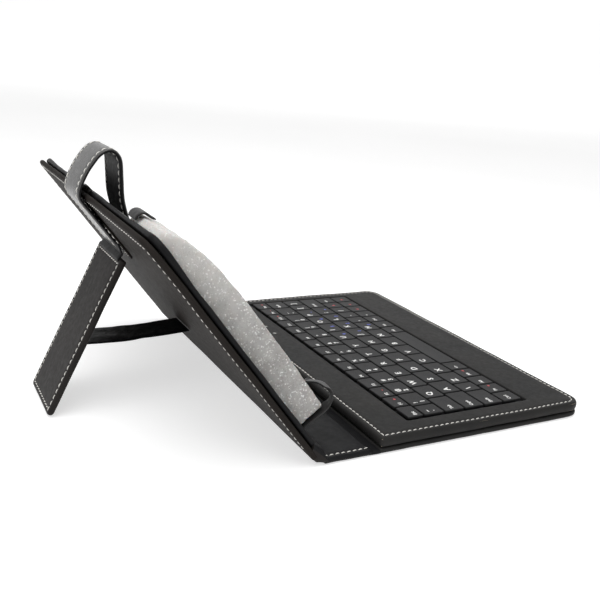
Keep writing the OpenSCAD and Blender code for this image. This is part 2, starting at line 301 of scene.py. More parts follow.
@dataclass(frozen=True)
class Leathercloth:
    """Polyurethane leathercloth, coated and embossed.

    It is black, with a soft grey gloss where it turns to the light. The real grain is near 0.4 mm and is
    drawn a little coarser so that it shows.
    """

    name: str
    face: str = "#222222"
    worn: str = "#292827"
    grain_mm: float = 0.6
    grain_height_mm: float = 0.025
    buckle_mm: float = 0.4
    gloss: tuple[float, float] = (0.44, 0.54)
    specular: float = 0.07

    def make(self) -> bpy.types.Material:
        """Builds the material."""
        recipe = Recipe(self.name)
        grain = recipe.cells(self.grain_mm, "DISTANCE_TO_EDGE").outputs["Distance"]
        wide = recipe.clouds(26.0, 3.0)
        fine = recipe.clouds(2.2, 3.0)
        recipe.colour(recipe.tint(recipe.spread(wide, 0.0, 1.0), self.face, self.worn))
        recipe.roughness(recipe.spread(fine, *self.gloss))
        recipe.relief([(wide, self.buckle_mm), (fine, 0.05), (grain, self.grain_height_mm)])
        recipe.set(IOR=1.5, Specular_IOR_Level=self.specular)
        return recipe.material


@dataclass(frozen=True)
class Thread:
    """Bonded polyester sewing thread: off-white, twisted, with a dull sheen."""

    name: str
    colour: str = "#e4e2dc"
    shade: str = "#b9b6af"
    twist_mm: float = 0.35

    def make(self) -> bpy.types.Material:
        """Builds the material."""
        recipe = Recipe(self.name)
        fuzz = recipe.clouds(self.twist_mm, 1.0)
        recipe.colour(recipe.tint(recipe.spread(fuzz, 0.0, 1.0), self.shade, self.colour))
        recipe.relief([(fuzz, 0.06)])
        recipe.set(Roughness=0.62, IOR=1.54, Sheen_Weight=0.3, Sheen_Roughness=0.5)
        return recipe.material


@dataclass(frozen=True)
class Moulded:
    """Moulded plastic or rubber with a fine spark-eroded texture: an even colour and a dull, broken gloss."""

    name: str
    face: str
    shade: str
    rough: tuple[float, float] = (0.42, 0.55)
    grit_mm: float = 0.4
    grit_height_mm: float = 0.012
    ior: float = 1.53
    specular: float = 0.5

    def make(self) -> bpy.types.Material:
        """Builds the material."""
        recipe = Recipe(self.name)
        grit = recipe.clouds(self.grit_mm, 2.0)
        wide = recipe.clouds(14.0, 2.0)
        recipe.colour(recipe.tint(recipe.spread(wide, 0.0, 1.0), self.face, self.shade))
        recipe.roughness(recipe.spread(grit, *self.rough))
        recipe.relief([(grit, self.grit_height_mm)])
        recipe.set(IOR=self.ior, Specular_IOR_Level=self.specular)
        return recipe.material


@dataclass(frozen=True)
class PrintedInk:
    """Pad-printed ink, a few hundredths of a millimetre thick: flat, with a slightly uneven edge."""

    name: str
    colour: str
    thin: str

    def make(self) -> bpy.types.Material:
        """Builds the material."""
        recipe = Recipe(self.name)
        cover = recipe.clouds(0.6, 2.0)
        recipe.colour(recipe.tint(recipe.spread(cover, 0.0, 1.0, 0.25, 0.45), self.thin, self.colour))
        recipe.relief([(cover, 0.01)])
        recipe.set(Roughness=0.5, IOR=1.5)
        return recipe.material


@dataclass(frozen=True)
class CellFoam:
    """Expanded polyethylene foam, sliced from a block.

    It is made of milky cells of about half a millimetre. The glints where a cut bubble faces the light are
    painted highlights, put as pale specks on random cells. The upper part, between the two heights in metres,
    is painted lighter: painted light from above.
    """

    name: str
    face: str = "#a6a4a1"
    # painted shade: the darker colour painted into the dips of the coarse relief
    painted_hollow_shade: str = "#94928f"
    # painted highlight: the pale colour of the glints, put on a few random cells
    painted_glint: str = "#dededc"
    # painted top light: the lighter colour and the two heights in metres over which it is painted in,
    # standing in for light from above
    painted_top_light: str = "#cfcdc9"
    cell_mm: float = 0.6
    painted_top_light_from: float = 0.065
    painted_top_light_to: float = 0.118

    def make(self) -> bpy.types.Material:
        """Builds the material."""
        recipe = Recipe(self.name)
        bubbles = recipe.cells(self.cell_mm)
        walls = recipe.cells(self.cell_mm, "DISTANCE_TO_EDGE").outputs["Distance"]
        coarse = recipe.clouds(5.0, 3.0)
        split = add_node(recipe.tree, "ShaderNodeSeparateColor", inputs={0: bubbles.outputs["Color"]})
        # painted highlight: a few random cells get the pale glint colour, standing in for light off cut
        # bubbles
        painted_sparkle = recipe.spread(split.outputs[0], 0.0, 0.8, 0.86, 0.97)
        # painted shade: the colour darkens toward the dips of the coarse relief, where shade would fall
        milk_and_painted_shade = recipe.tint(recipe.spread(coarse, 0.0, 1.0, 0.32, 0.62), self.painted_hollow_shade, self.face)
        place = add_node(recipe.tree, "ShaderNodeSeparateXYZ", inputs={0: recipe.where})
        # painted top light: the colour grows lighter with height, standing in for light falling from above
        upper = recipe.spread(place.outputs[2], 0.0, 1.0, self.painted_top_light_from, self.painted_top_light_to)
        recipe.colour(recipe.tint(painted_sparkle, recipe.tint(upper, milk_and_painted_shade, self.painted_top_light), self.painted_glint))
        recipe.roughness(recipe.spread(split.outputs[1], 0.24, 0.72, 0.0, 1.0))
        recipe.relief([(coarse, 0.5), (walls, 0.25), (split.outputs[2], 0.08)])
        recipe.set(IOR=1.5, Subsurface_Weight=0.15, Subsurface_Scale=0.003)
        return recipe.material


@dataclass(frozen=True)
class Woven:
    """Woven narrow fabric, such as rubber elastic or a nylon ribbon: fine ribs across it and a low sheen."""

    name: str
    face: str
    shade: str
    rib_mm: float = 0.7
    rib_height_mm: float = 0.12
    rib_direction: str = "X"
    rough: float = 0.62
    sheen: float = 0.25
    specular: float = 0.4

    def make(self) -> bpy.types.Material:
        """Builds the material."""
        recipe = Recipe(self.name)
        ribs = recipe.threads(self.rib_mm, self.rib_direction)
        fuzz = recipe.clouds(3.0, 3.0)
        recipe.colour(recipe.tint(recipe.spread(fuzz, 0.0, 1.0), self.face, self.shade))
        recipe.relief([(fuzz, 0.3), (ribs, self.rib_height_mm)])
        recipe.set(
            Roughness=self.rough,
            IOR=1.5,
            Specular_IOR_Level=self.specular,
            Sheen_Weight=self.sheen,
            Sheen_Roughness=0.4,
        )
        return recipe.material


@dataclass(frozen=True)
class Greyboard:
    """Recycled greyboard: pressed paper with visible fibres."""

    name: str
    face: str = "#8c8272"
    fibre: str = "#746b5d"

    def make(self) -> bpy.types.Material:
        """Builds the material."""
        recipe = Recipe(self.name)
        fibres = recipe.clouds(1.2, 4.0, (1.0, 4.0, 1.0))
        recipe.colour(recipe.tint(recipe.spread(fibres, 0.0, 1.0), self.face, self.fibre))
        recipe.relief([(fibres, 0.06)])
        recipe.set(Roughness=0.9, IOR=1.5)
        return recipe.material


@dataclass(frozen=True)
class PlatedSteel:
    """Zinc-plated steel, stamped: a dull grey metal with rolling marks along one way."""

    name: str
    face: str = "#b9bbbe"
    shade: str = "#9da0a4"

    def make(self) -> bpy.types.Material:
        """Builds the material."""
        recipe = Recipe(self.name)
        marks = recipe.clouds(0.5, 2.0, (1.0, 12.0, 1.0))
        recipe.colour(recipe.tint(recipe.spread(marks, 0.0, 1.0), self.face, self.shade))
        recipe.roughness(recipe.spread(marks, 0.28, 0.4))
        recipe.relief([(marks, 0.01)])
        recipe.set(Metallic=1.0)
        return recipe.material


@dataclass(frozen=True)
class LightLens:
    """Milky polycarbonate light pipe: pale, smooth and slightly translucent."""

    name: str
    face: str = "#c9cbc6"
    shade: str = "#a9aca6"

    def make(self) -> bpy.types.Material:
        """Builds the material."""
        recipe = Recipe(self.name)
        haze = recipe.clouds(0.5, 1.0)
        recipe.colour(recipe.tint(recipe.spread(haze, 0.0, 1.0), self.face, self.shade))
        recipe.relief([(haze, 0.01)])
        recipe.set(Roughness=0.2, IOR=1.58, Transmission_Weight=0.25)
        return recipe.material


@dataclass(frozen=True)
class LitAcrylic:
    """Opal acrylic sheet of the studio's table and backdrop, lit from behind, so that shadows stay pale."""

    name: str
    face: str = "#cdcdcd"
    shade: str = "#c9c9c9"
    glow: float = 0.6

    def make(self) -> bpy.types.Material:
        """Builds the material."""
        recipe = Recipe(self.name)
        drift = recipe.clouds(300.0, 2.0)
        recipe.colour(recipe.tint(recipe.spread(drift, 0.0, 1.0), self.face, self.shade))
        recipe.set(Roughness=0.9, Specular_IOR_Level=0.1, Emission_Strength=self.glow)
        recipe.shader.inputs["Emission Color"].default_value = linear_colour("#ffffff")
        return recipe.material


class Finish(Protocol):
    """What every finish can do."""

    def make(self) -> bpy.types.Material:
        """Builds the material."""


def once(finish: Finish) -> bpy.types.Material:
    """Gives a dataclass field that holds this finish's material, made when its owner is made."""
    return field(default_factory=finish.make)


@dataclass
class Finishes:
    """Every finish of the case, made once."""

    deck: bpy.types.Material = once(Leathercloth("leathercloth_deck"))
    cover: bpy.types.Material = once(
        Leathercloth("leathercloth_cover", "#211e1c", "#272422", gloss=(0.52, 0.62), specular=0.03)
    )
    leg: bpy.types.Material = once(
        Leathercloth("leathercloth_leg", "#232120", "#272423", gloss=(0.42, 0.52), specular=0.07)
    )
    lining: bpy.types.Material = once(
        Leathercloth("leathercloth_lining", "#171718", "#1c1c1d", 1.1, 0.02, 0.6, (0.34, 0.46), 0.06)
    )
    strap: bpy.types.Material = once(
        Leathercloth("leathercloth_strap", "#262525", "#2d2c2b", 0.6, 0.025, 0.25, (0.25, 0.34), 0.6)
    )
    thread: bpy.types.Material = once(Thread("white_thread"))
    keycap: bpy.types.Material = once(Moulded("keycap_abs", "#1b1b1c", "#202021", (0.45, 0.58), specular=0.2))
    white_ink: bpy.types.Material = once(PrintedInk("white_ink", "#f0f0ee", "#cfcfcd"))
    red_ink: bpy.types.Material = once(PrintedInk("red_ink", "#d6474b", "#a83a3e"))
    blue_ink: bpy.types.Material = once(PrintedInk("blue_ink", "#5a6ad2", "#4450a8"))
    moulded: bpy.types.Material = once(Moulded("black_moulded_abs", "#101011", "#161617"))
    membrane: bpy.types.Material = once(
        Moulded("printed_pet_film", "#c3c9c0", "#b2b9ae", (0.2, 0.35), 2.0, 0.01, 1.57)
    )
    domes: bpy.types.Material = once(
        Moulded("silicone_rubber", "#d6d6d0", "#c9c9c2", (0.5, 0.65), 0.6, 0.01, 1.43)
    )
    circuit: bpy.types.Material = once(
        Moulded("fr4_laminate", "#1f5a3a", "#184a30", (0.3, 0.42), 0.8, 0.01, 1.5)
    )
    chips: bpy.types.Material = once(
        Moulded("epoxy_mould_compound", "#1d1d1f", "#29292b", (0.55, 0.7), 0.2, 0.01, 1.56)
    )
    rubber: bpy.types.Material = once(
        Moulded("black_rubber", "#0f0f10", "#171717", (0.55, 0.7), 0.5, 0.02, 1.52)
    )
    elastic: bpy.types.Material = once(
        Woven("rubber_elastic", "#141414", "#1f1e1e", 0.9, 0.12, "Z", 0.5, 0.12, 0.3)
    )
    ribbon: bpy.types.Material = once(
        Woven("nylon_ribbon", "#07080a", "#0c0d10", 0.9, 0.08, "Y", 0.4, 0.0, 0.12)
    )
    foam: bpy.types.Material = once(CellFoam("cell_foam"))
    greyboard: bpy.types.Material = once(Greyboard("recycled_greyboard"))
    steel: bpy.types.Material = once(PlatedSteel("zinc_plated_steel"))
    lens: bpy.types.Material = once(LightLens("polycarbonate_lens"))
    studio: bpy.types.Material = once(LitAcrylic("opal_acrylic"))


# ---- Mesh building -----------------------------------------------------------


@dataclass
class Draft:
    """Points in millimetres and faces, gathered for one piece."""

    points: list[Vector] = field(default_factory=list)
    faces: list[tuple[int, ...]] = field(default_factory=list)
    finish_of: list[int] = field(default_factory=list)

    def face(self, corners: tuple[int, ...], finish: int) -> None:
        """Adds one face with its finish."""
        self.faces.append(corners)
        self.finish_of.append(finish)

    def rings(self, rings: Sequence[Sequence[Vector]], finish: int = 0, closed: bool = False) -> int:
        """Joins rings of equal length with four-sided faces.

        Args:
            rings: The rings, each walked the same way round.
            finish: Number of the piece's finish.
            closed: True joins the last ring to the first.

        Returns:
            The index of the first point.
        """
        start, count = len(self.points), len(rings[0])
        for ring in rings:
            self.points.extend(ring)
        for a in range(len(rings) if closed else len(rings) - 1):
            here, there = start + a * count, start + (a + 1) % len(rings) * count
            for i in range(count):
                j = (i + 1) % count
                self.face((here + i, here + j, there + j, there + i), finish)
        return start

    def cap(self, ring: Sequence[Vector], finish: int = 0) -> None:
        """Closes a ring with one face."""
        start = len(self.points)
        self.points.extend(ring)
        self.face(tuple(range(start, start + len(ring))), finish)

    def patch(self, rows: Sequence[Sequence[Vector]], finish: int = 0) -> None:
        """Fills rows of points with four-sided faces.

        Args:
            rows: Rows of equal length.
            finish: Number of the piece's finish.
        """
        start, count = len(self.points), len(rows[0])
        for row in rows:
            self.points.extend(row)
        for a in range(len(rows) - 1):
            for i in range(count - 1):
                k = start + a * count + i
                self.face((k, k + 1, k + 1 + count, k + count), finish)

    def add(self, points: Iterable[Vector], faces: Iterable[tuple[int, ...]], finish: int = 0) -> None:
        """Adds a small ready-made mesh.

        Args:
            points: Its points.
            faces: Its faces, by the points' numbers.
            finish: Number of the piece's finish.
        """
        start = len(self.points)
        self.points.extend(points)
        for corners in faces:
            self.face(tuple(start + c for c in corners), finish)


def still(point: Vector) -> Vector:
    """Leaves a point where it is."""
    return point


def make_piece(
    name: str,
    draft: Draft,
    finishes: Sequence[bpy.types.Material],
    place: Matrix = STILL,
    sharp: float = 50.0,
) -> bpy.types.Object:
    """Turns a draft into a piece.

    Args:
        name: Name of the piece.
        draft: Its points and faces.
        finishes: Its materials, in the order of the faces' numbers.
        place: Frame that the points are drawn in, in millimetres.
        sharp: Angle in degrees above which an edge stays crisp.

    Returns:
        The new object, at the origin.
    """
    mesh = bpy.data.meshes.new(name)
    mesh.from_pydata([tuple((place @ p) * MM) for p in draft.points], [], draft.faces)
    for polygon, finish in zip(mesh.polygons, draft.finish_of):
        polygon.material_index = finish
    tidy = bmesh.new()
    tidy.from_mesh(mesh)
    bmesh.ops.remove_doubles(tidy, verts=tidy.verts, dist=2e-6)
    bmesh.ops.dissolve_degenerate(tidy, edges=tidy.edges, dist=1e-6)
    bmesh.ops.recalc_face_normals(tidy, faces=tidy.faces)
    tidy.to_mesh(mesh)
    tidy.free()
    for polygon in mesh.polygons:
        polygon.use_smooth = True
    mesh.set_sharp_from_angle(angle=math.radians(sharp))
    for finish in finishes:
        mesh.materials.append(finish)
    piece = bpy.data.objects.new(name, mesh)
    bpy.context.scene.collection.objects.link(piece)
    LOG.info("made %s with %d faces", name, len(mesh.polygons))
    return piece


def wave(point: Vector, size_mm: float, salt: float) -> float:
    """Gives a smooth, repeatable wave from about -1 to 1 at a point."""
    x, y, z = (value / size_mm for value in point)
    return noise.noise(Vector((x + salt, y - salt, z + 2 * salt)))


def lerp_ring(first: Sequence[Vector], last: Sequence[Vector], share: float) -> list[Vector]:
    """Gives the ring that lies between two rings."""
    return [a.lerp(b, share) for a, b in zip(first, last)]


def smooth(value: float, start: float, end: float) -> float:
    """Gives a soft step from 0 at start to 1 at end."""
    t = min(max((value - start) / (end - start), 0.0), 1.0)
    return t * t * (3 - 2 * t)


@dataclass(frozen=True)
class Outline:
    """A rectangle with round corners, walked the same way round at any inset."""

    x0: float
    x1: float
    y0: float
    y1: float
    low_radius: float
    high_radius: float
    across: int = 48
    along: int = 32
    arc: int = 6

    def loop(self, inset: float, z: float) -> list[Vector]:
        """Walks the outline.

        Args:
            inset: Distance inside the outline.
            z: Height of the loop.

        Returns:
            Its points, counterclockwise from the low left corner.
        """
        x0, x1, y0, y1 = self.x0 + inset, self.x1 - inset, self.y0 + inset, self.y1 - inset
        low, high = max(self.low_radius - inset, 0.0), max(self.high_radius - inset, 0.0)
        corners = [
            (x0 + low, y0 + low, low, 180), (x1 - low, y0 + low, low, 270),
            (x1 - high, y1 - high, high, 0), (x0 + high, y1 - high, high, 90),
        ]
        arcs = []
        for x, y, r, first in corners:
            turns = [math.radians(first + 90 * i / self.arc) for i in range(self.arc + 1)]
            arcs.append([Vector((x + r * math.cos(a), y + r * math.sin(a), z)) for a in turns])
        loop: list[Vector] = []
        for k, arc in enumerate(arcs):
            count = self.along if k % 2 else self.across
            loop += arc
            loop += [arc[-1].lerp(arcs[(k + 1) % 4][0], i / count) for i in range(1, count)]
        return loop

    def field(self, inset: float, z: float) -> list[list[Vector]]:
        """Gives the grid of points inside a square loop.

        Args:
            inset: Distance inside the outline.
            z: Height of the grid.

        Returns:
            Its rows, from the low side.
        """
        x0, x1, y0, y1 = self.x0 + inset, self.x1 - inset, self.y0 + inset, self.y1 - inset
        columns = [x0 + (x1 - x0) * i / self.across for i in range(self.across + 1)]
        rows = [y0 + (y1 - y0) * j / self.along for j in range(self.along + 1)]
        return [[Vector((x, y, z)) for x in columns] for y in rows]


class Face(Enum):
    """A face of a panel."""

    LOW = "low"
    HIGH = "high"


@dataclass
class SoftPanel:
    """A board wrapped in leathercloth: flat faces, rolled edges and seams that dip."""

    outline: Outline
    low: float
    high: float
    seams: tuple[Face, ...] = ()
    window: Outline | None = None
    seam_inset: float = 3.0
    seam_dip: float = 0.3
    flat_inset: float = 10.0
    lip: float = 0.05

    def half_edge(self, surface: float, toward: float, seam: bool) -> list[tuple[float, float]]:
        """Gives the edge's profile from the flat of one face out to the middle of the edge.

        Args:
            surface: Height of the face.
            toward: Thickness from this face to the other, with its sign.
            seam: True if a seam dips in this face.

        Returns:
            Pairs of inset and height.
        """
        dip = self.seam_dip * math.copysign(1.0, toward) if seam else 0.0
        s = self.seam_inset
        return [
            (self.flat_inset, surface), (s + 2.2, surface),
            (s + 0.9, surface + 0.3 * dip), (s, surface + dip), (s - 0.8, surface + 0.2 * dip),
            (1.3, surface), (0.62, surface + 0.07 * toward),
            (0.2, surface + 0.2 * toward), (0.03, surface + 0.36 * toward),
        ]

    def draft(self, shape: Shape = still) -> Draft:
        """Builds the closed panel.

        Args:
            shape: Moves each point to its place on the worn, uneven panel.

        Returns:
            The panel's mesh.
        """
        made, thick = Draft(), self.high - self.low
        lower = self.half_edge(self.low, thick, Face.LOW in self.seams)
        upper = self.half_edge(self.high, -thick, Face.HIGH in self.seams)
        rings = [self.outline.loop(i, z) for i, z in lower]
        rings.append(self.outline.loop(0.0, (self.low + self.high) / 2))
        rings += [self.outline.loop(i, z) for i, z in reversed(upper)]
        if self.window is None:
            made.rings([[shape(p) for p in ring] for ring in rings])
            for z in (self.low, self.high):
                made.patch([[shape(p) for p in row] for row in self.outline.field(self.flat_inset, z)])
            return made
        top = self.high
        lip = [(-1.0, top + 0.04), (-0.4, top), (-0.08, top - 0.2)]
        lip += [(self.lip, top - 0.6), (self.lip, self.low)]
        inner = [self.window.loop(i, z) for i, z in lip]
        spread = [lerp_ring(rings[-1], inner[0], k / 6) for k in range(1, 6)]
        under = [lerp_ring(inner[-1], rings[0], k / 3) for k in range(1, 3)]
        made.rings([[shape(p) for p in ring] for ring in rings + spread + inner + under], closed=True)
        return made


@dataclass(frozen=True)
class Stitching:
    """A row of lockstitches in thick thread."""

    pitch: float = 3.1
    length: float = 2.55
    width: float = 0.62
    rise: float = 0.3
    slant: float = math.radians(9)
    sunk: float = 0.08
    sides: int = 6

    def sew(self, draft: Draft, path: Sequence[Seat], finish: int = 0, closed: bool = False) -> None:
        """Adds the stitches along a path.

        Args:
            draft: Mesh that takes them.
            path: Points of the seam, each with the direction out of the face.
            finish: Number of the thread's finish.
            closed: True if the seam meets its own start.
        """
        seats = list(path) + ([path[0]] if closed else [])
        reach = [0.0]
        for (a, _), (b, _) in zip(seats, seats[1:]):
            reach.append(reach[-1] + (b - a).length)
        count = max(round(reach[-1] / self.pitch), 1)
        step, k = reach[-1] / count, 0
        for i in range(count):
            middle = (i + 0.5) * step
            while k < len(seats) - 2 and reach[k + 1] < middle:
                k += 1
            (a, out_a), (b, out_b) = seats[k], seats[k + 1]
            share = (middle - reach[k]) / max(reach[k + 1] - reach[k], 1e-6)
            out = out_a.lerp(out_b, share).normalized()
            self.stitch(draft, a.lerp(b, share), (b - a).normalized(), out, finish)

    def stitch(self, draft: Draft, seat: Vector, along: Vector, out: Vector, finish: int) -> None:
        """Adds one stitch.

        Args:
            draft: Mesh that takes it.
            seat: Middle of the stitch, on the face.
            along: Direction of the seam.
            out: Direction out of the face.
            finish: Number of the thread's finish.
        """
        side = out.cross(along).normalized()
        along = (along * math.cos(self.slant) + side * math.sin(self.slant)).normalized()
        side = out.cross(along).normalized()
        turns = [2 * math.pi * s / self.sides for s in range(self.sides)]
        rings = []
        for t in (-1.0, -0.8, -0.35, 0.35, 0.8, 1.0):
            full = math.sqrt(max(1 - t * t, 0.03))
            middle = seat + along * (t * self.length / 2) + out * (self.rise * (1 - t * t) - self.sunk)
            wide, high = side * (self.width * 0.5 * full), out * (self.width * 0.4 * full)
            rings.append([middle + wide * math.cos(a) + high * math.sin(a) for a in turns])
        draft.rings(rings, finish)
        draft.cap(rings[0], finish)
        draft.cap(rings[-1], finish)


def resampled(path: Sequence[Vector], step: float) -> list[Vector]:
    """Walks a path in nearly equal steps.

    Args:
        path: Points of the path.
        step: Wanted distance between two points.

    Returns:
        The new points, both ends among them.
    """
    reach = [0.0]
    for a, b in zip(path, path[1:]):
        reach.append(reach[-1] + (b - a).length)
    count = max(round(reach[-1] / step), 2)
    made, k = [], 0
    for i in range(count + 1):
        at = reach[-1] * i / count
        while k < len(path) - 2 and reach[k + 1] < at:
            k += 1
        share = (at - reach[k]) / max(reach[k + 1] - reach[k], 1e-9)
        made.append(path[k].lerp(path[k + 1], min(share, 1.0)))
    return made


def even(path: Sequence[Vector], count: int) -> list[Vector]:
    """Gives a path as this many equal steps."""
    length = sum((b - a).length for a, b in zip(path, path[1:]))
    return resampled(path, length / count)


def curved(points: Sequence[Vector], steps: int = 8) -> list[Vector]:
    """Draws a smooth curve through points.

    Args:
        points: Points that the curve goes through.
        steps: Number of stretches between two of them.

    Returns:
        The curve's points.
    """
    ends = [2 * points[0] - points[1], *points, 2 * points[-1] - points[-2]]
    made = []
    for a, b, c, d in zip(ends, ends[1:], ends[2:], ends[3:]):
        for i in range(steps):
            t = i / steps
            bend, twist = 2 * a - 5 * b + 4 * c - d, 3 * b - a - 3 * c + d
            made.append(0.5 * (2 * b + (c - a) * t + bend * t * t + twist * t**3))
    return made + [points[-1].copy()]


@dataclass
class Band:
    """A flat, soft band along a path, with rounded sides, laid across its own width.

    The path runs down its middle. Out is the direction of its outer face at each point, and across is the
    direction of its width, given once or for each point.
    """

    path: list[Vector]
    width: float
    thick: float
    across: list[Vector] = field(default_factory=lambda: [Vector((1, 0, 0))])
    crown: float = 0.15
    seam_inset: float = 0.0
    end_round: bool = True
    columns: int = 8

    def directions(self) -> list[tuple[Vector, Vector]]:
        """Works out how the band lies at each point.

        Returns:
            The out and across directions of each point.
        """
        last = len(self.path) - 1
        made = []
        for i in range(last + 1):
            along = (self.path[min(i + 1, last)] - self.path[max(i - 1, 0)]).normalized()
            wide = self.across[min(i, len(self.across) - 1)]
            out = along.cross(wide).normalized()
            made.append((out, out.cross(along).normalized()))
        return made

    def section(self) -> list[tuple[float, float]]:
        """Draws half of the section, from one side to the other.

        Returns:
            Pairs of the distance across and the half thickness there.
        """
        w, t = self.width / 2, self.thick / 2
        side = [(w, 0.25 * t), (w - 0.12 * t, 0.62 * t), (w - 0.5 * t, 0.9 * t), (w - 1.2 * t, t)]
        if self.seam_inset:
            s = self.seam_inset
            side += [(w - s + 0.8, t * 1.04), (w - s, t * 0.84), (w - s - 0.9, t)]
        inner = side[-1][0]
        flat = []
        for i in range(1, self.columns):
            x = inner - 2 * inner * i / self.columns
            flat.append((x, t * (1 + self.crown * (1 - (x / w) ** 2))))
        return side + flat + [(-x, h) for x, h in reversed(side)]

    def draft(self, finish: int = 0, inner_finish: int | None = None, shape: Shape = still) -> Draft:
        """Builds the closed band.

        Args:
            finish: Number of the finish of its outer face.
            inner_finish: Number of the finish of its inner face, if it differs.
            shape: Moves each point to its place on the worn band.

        Returns:
            The band's mesh.
        """
        made, section, rings = Draft(), self.section(), []
        last = len(self.path) - 1
        for point, (out, wide) in zip(self.path, self.directions()):
            near = min((point - self.path[0]).length, (point - self.path[last]).length)
            full = math.sqrt(min(near / (0.6 * self.thick), 1.0) * 0.8 + 0.2) if self.end_round else 1.0
            outer = [point + wide * x + out * (h * full) for x, h in section]
            inner = [point + wide * x - out * (h * full) for x, h in reversed(section)]
            rings.append([shape(p) for p in outer + inner])
        start, count = made.rings(rings, finish), len(rings[0])
        if inner_finish is not None:
            for k, corners in enumerate(made.faces):
                if min(c % count for c in corners) >= count // 2 - 1 and start == 0:
                    made.finish_of[k] = inner_finish
        made.cap(rings[0], finish)
        made.cap(rings[-1], finish)
        return made

    def seam(self, side: int, out_sign: int = 1) -> list[Seat]:
        """Gives the path of the stitches along one side.

        Args:
            side: 1 or -1, the side of the band.
            out_sign: 1 for the outer face and -1 for the inner.

        Returns:
            Points on the face with their outward directions.
        """
        offset = side * (self.width / 2 - self.seam_inset)
        return [
            (p + wide * offset + out * (out_sign * self.thick * 0.44), out * out_sign)
            for p, (out, wide) in zip(self.path, self.directions())
        ]


def on_cover(x: float, up: float, off: float) -> Vector:
    """Gives the place of a point of the cover's own frame."""
    return COVER @ Vector((x, up, off))


def dress_node(names: Iterable[str], finish: bpy.types.Material) -> None:
    """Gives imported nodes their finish.

    Args:
        names: Names of the nodes.
        finish: Material for all their slots.
    """
    for name in names:
        mesh = frame["nodes"][name].data
        if not mesh.materials:
            mesh.materials.append(finish)
        for i in range(len(mesh.materials)):
            mesh.materials[i] = finish


def islands(node: str) -> list[tuple[Vector, Vector]]:
    """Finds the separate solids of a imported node.

    Args:
        node: Name of the node.

    Returns:
        The box of each in millimetres, from the left of the back row onwards.
    """
    mesh = bmesh.new()
    mesh.from_mesh(frame["nodes"][node].data)
    bmesh.ops.remove_doubles(mesh, verts=mesh.verts, dist=1e-6)
    left, boxes = set(mesh.verts), []
    while left:
        reached, waiting = [], [left.pop()]
        while waiting:
            vertex = waiting.pop()
            reached.append(vertex.co.copy())
            for edge in vertex.link_edges:
                other = edge.other_vert(vertex)
                if other in left:
                    left.remove(other)
                    waiting.append(other)
        low = Vector([min(p[k] for p in reached) for k in range(3)])
        high = Vector([max(p[k] for p in reached) for k in range(3)])
        boxes.append((low / MM, high / MM))
    mesh.free()
    return sorted(boxes, key=lambda b: (-round(b[0].y), b[0].x))


# ---- Keyboard ----------------------------------------------------------------


class Ink(Enum):
    """Ink of a legend."""

    WHITE = 0
    RED = 1
    BLUE = 2


@dataclass(frozen=True)
class Mark:
    """One printed mark on a keycap, placed from the cap's back left corner."""

    text: str
    right: float
    down: float
    size: float
    ink: Ink = Ink.WHITE


@dataclass
class LegendPress:
    """Prints plain marks on keycaps as thin raised ink."""

    ink_t: float = 0.03
    boldness: float = 0.018
    glyphs: dict[str, tuple[list[Vector], list[tuple[int, ...]]]] = field(default_factory=dict)

    def glyph(self, text: str) -> tuple[list[Vector], list[tuple[int, ...]]]:
        """Gives the mesh of some characters at a size of 1.

        Args:
            text: The characters.

        Returns:
            The points and the faces, drawn once and then kept.
        """
        if text not in self.glyphs:
            curve = bpy.data.curves.new("legend_type", "FONT")
            curve.body, curve.resolution_u = text, 2
            curve.extrude, curve.offset = self.ink_t / 6, self.boldness
            holder = bpy.data.objects.new("legend_type", curve)
            bpy.context.scene.collection.objects.link(holder)
            bpy.context.view_layer.update()
            drawn = holder.evaluated_get(bpy.context.evaluated_depsgraph_get())
            mesh = bpy.data.meshes.new_from_object(drawn)
            points = [v.co.copy() for v in mesh.vertices]
            self.glyphs[text] = (points, [tuple(p.vertices) for p in mesh.polygons])
            bpy.data.objects.remove(holder)
            bpy.data.curves.remove(curve)
            bpy.data.meshes.remove(mesh)
        return self.glyphs[text]

    def stamp(self, draft: Draft, mark: Mark, corner: Vector) -> None:
        """Adds one mark.

        Args:
            draft: Mesh that takes it.
            mark: The mark.
            corner: The cap's back left top corner.
        """
        points, faces = self.glyph(mark.text)
        seat = corner + Vector((mark.right, -mark.down, 0))
        draft.add([seat + p * mark.size for p in points], faces, mark.ink.value)


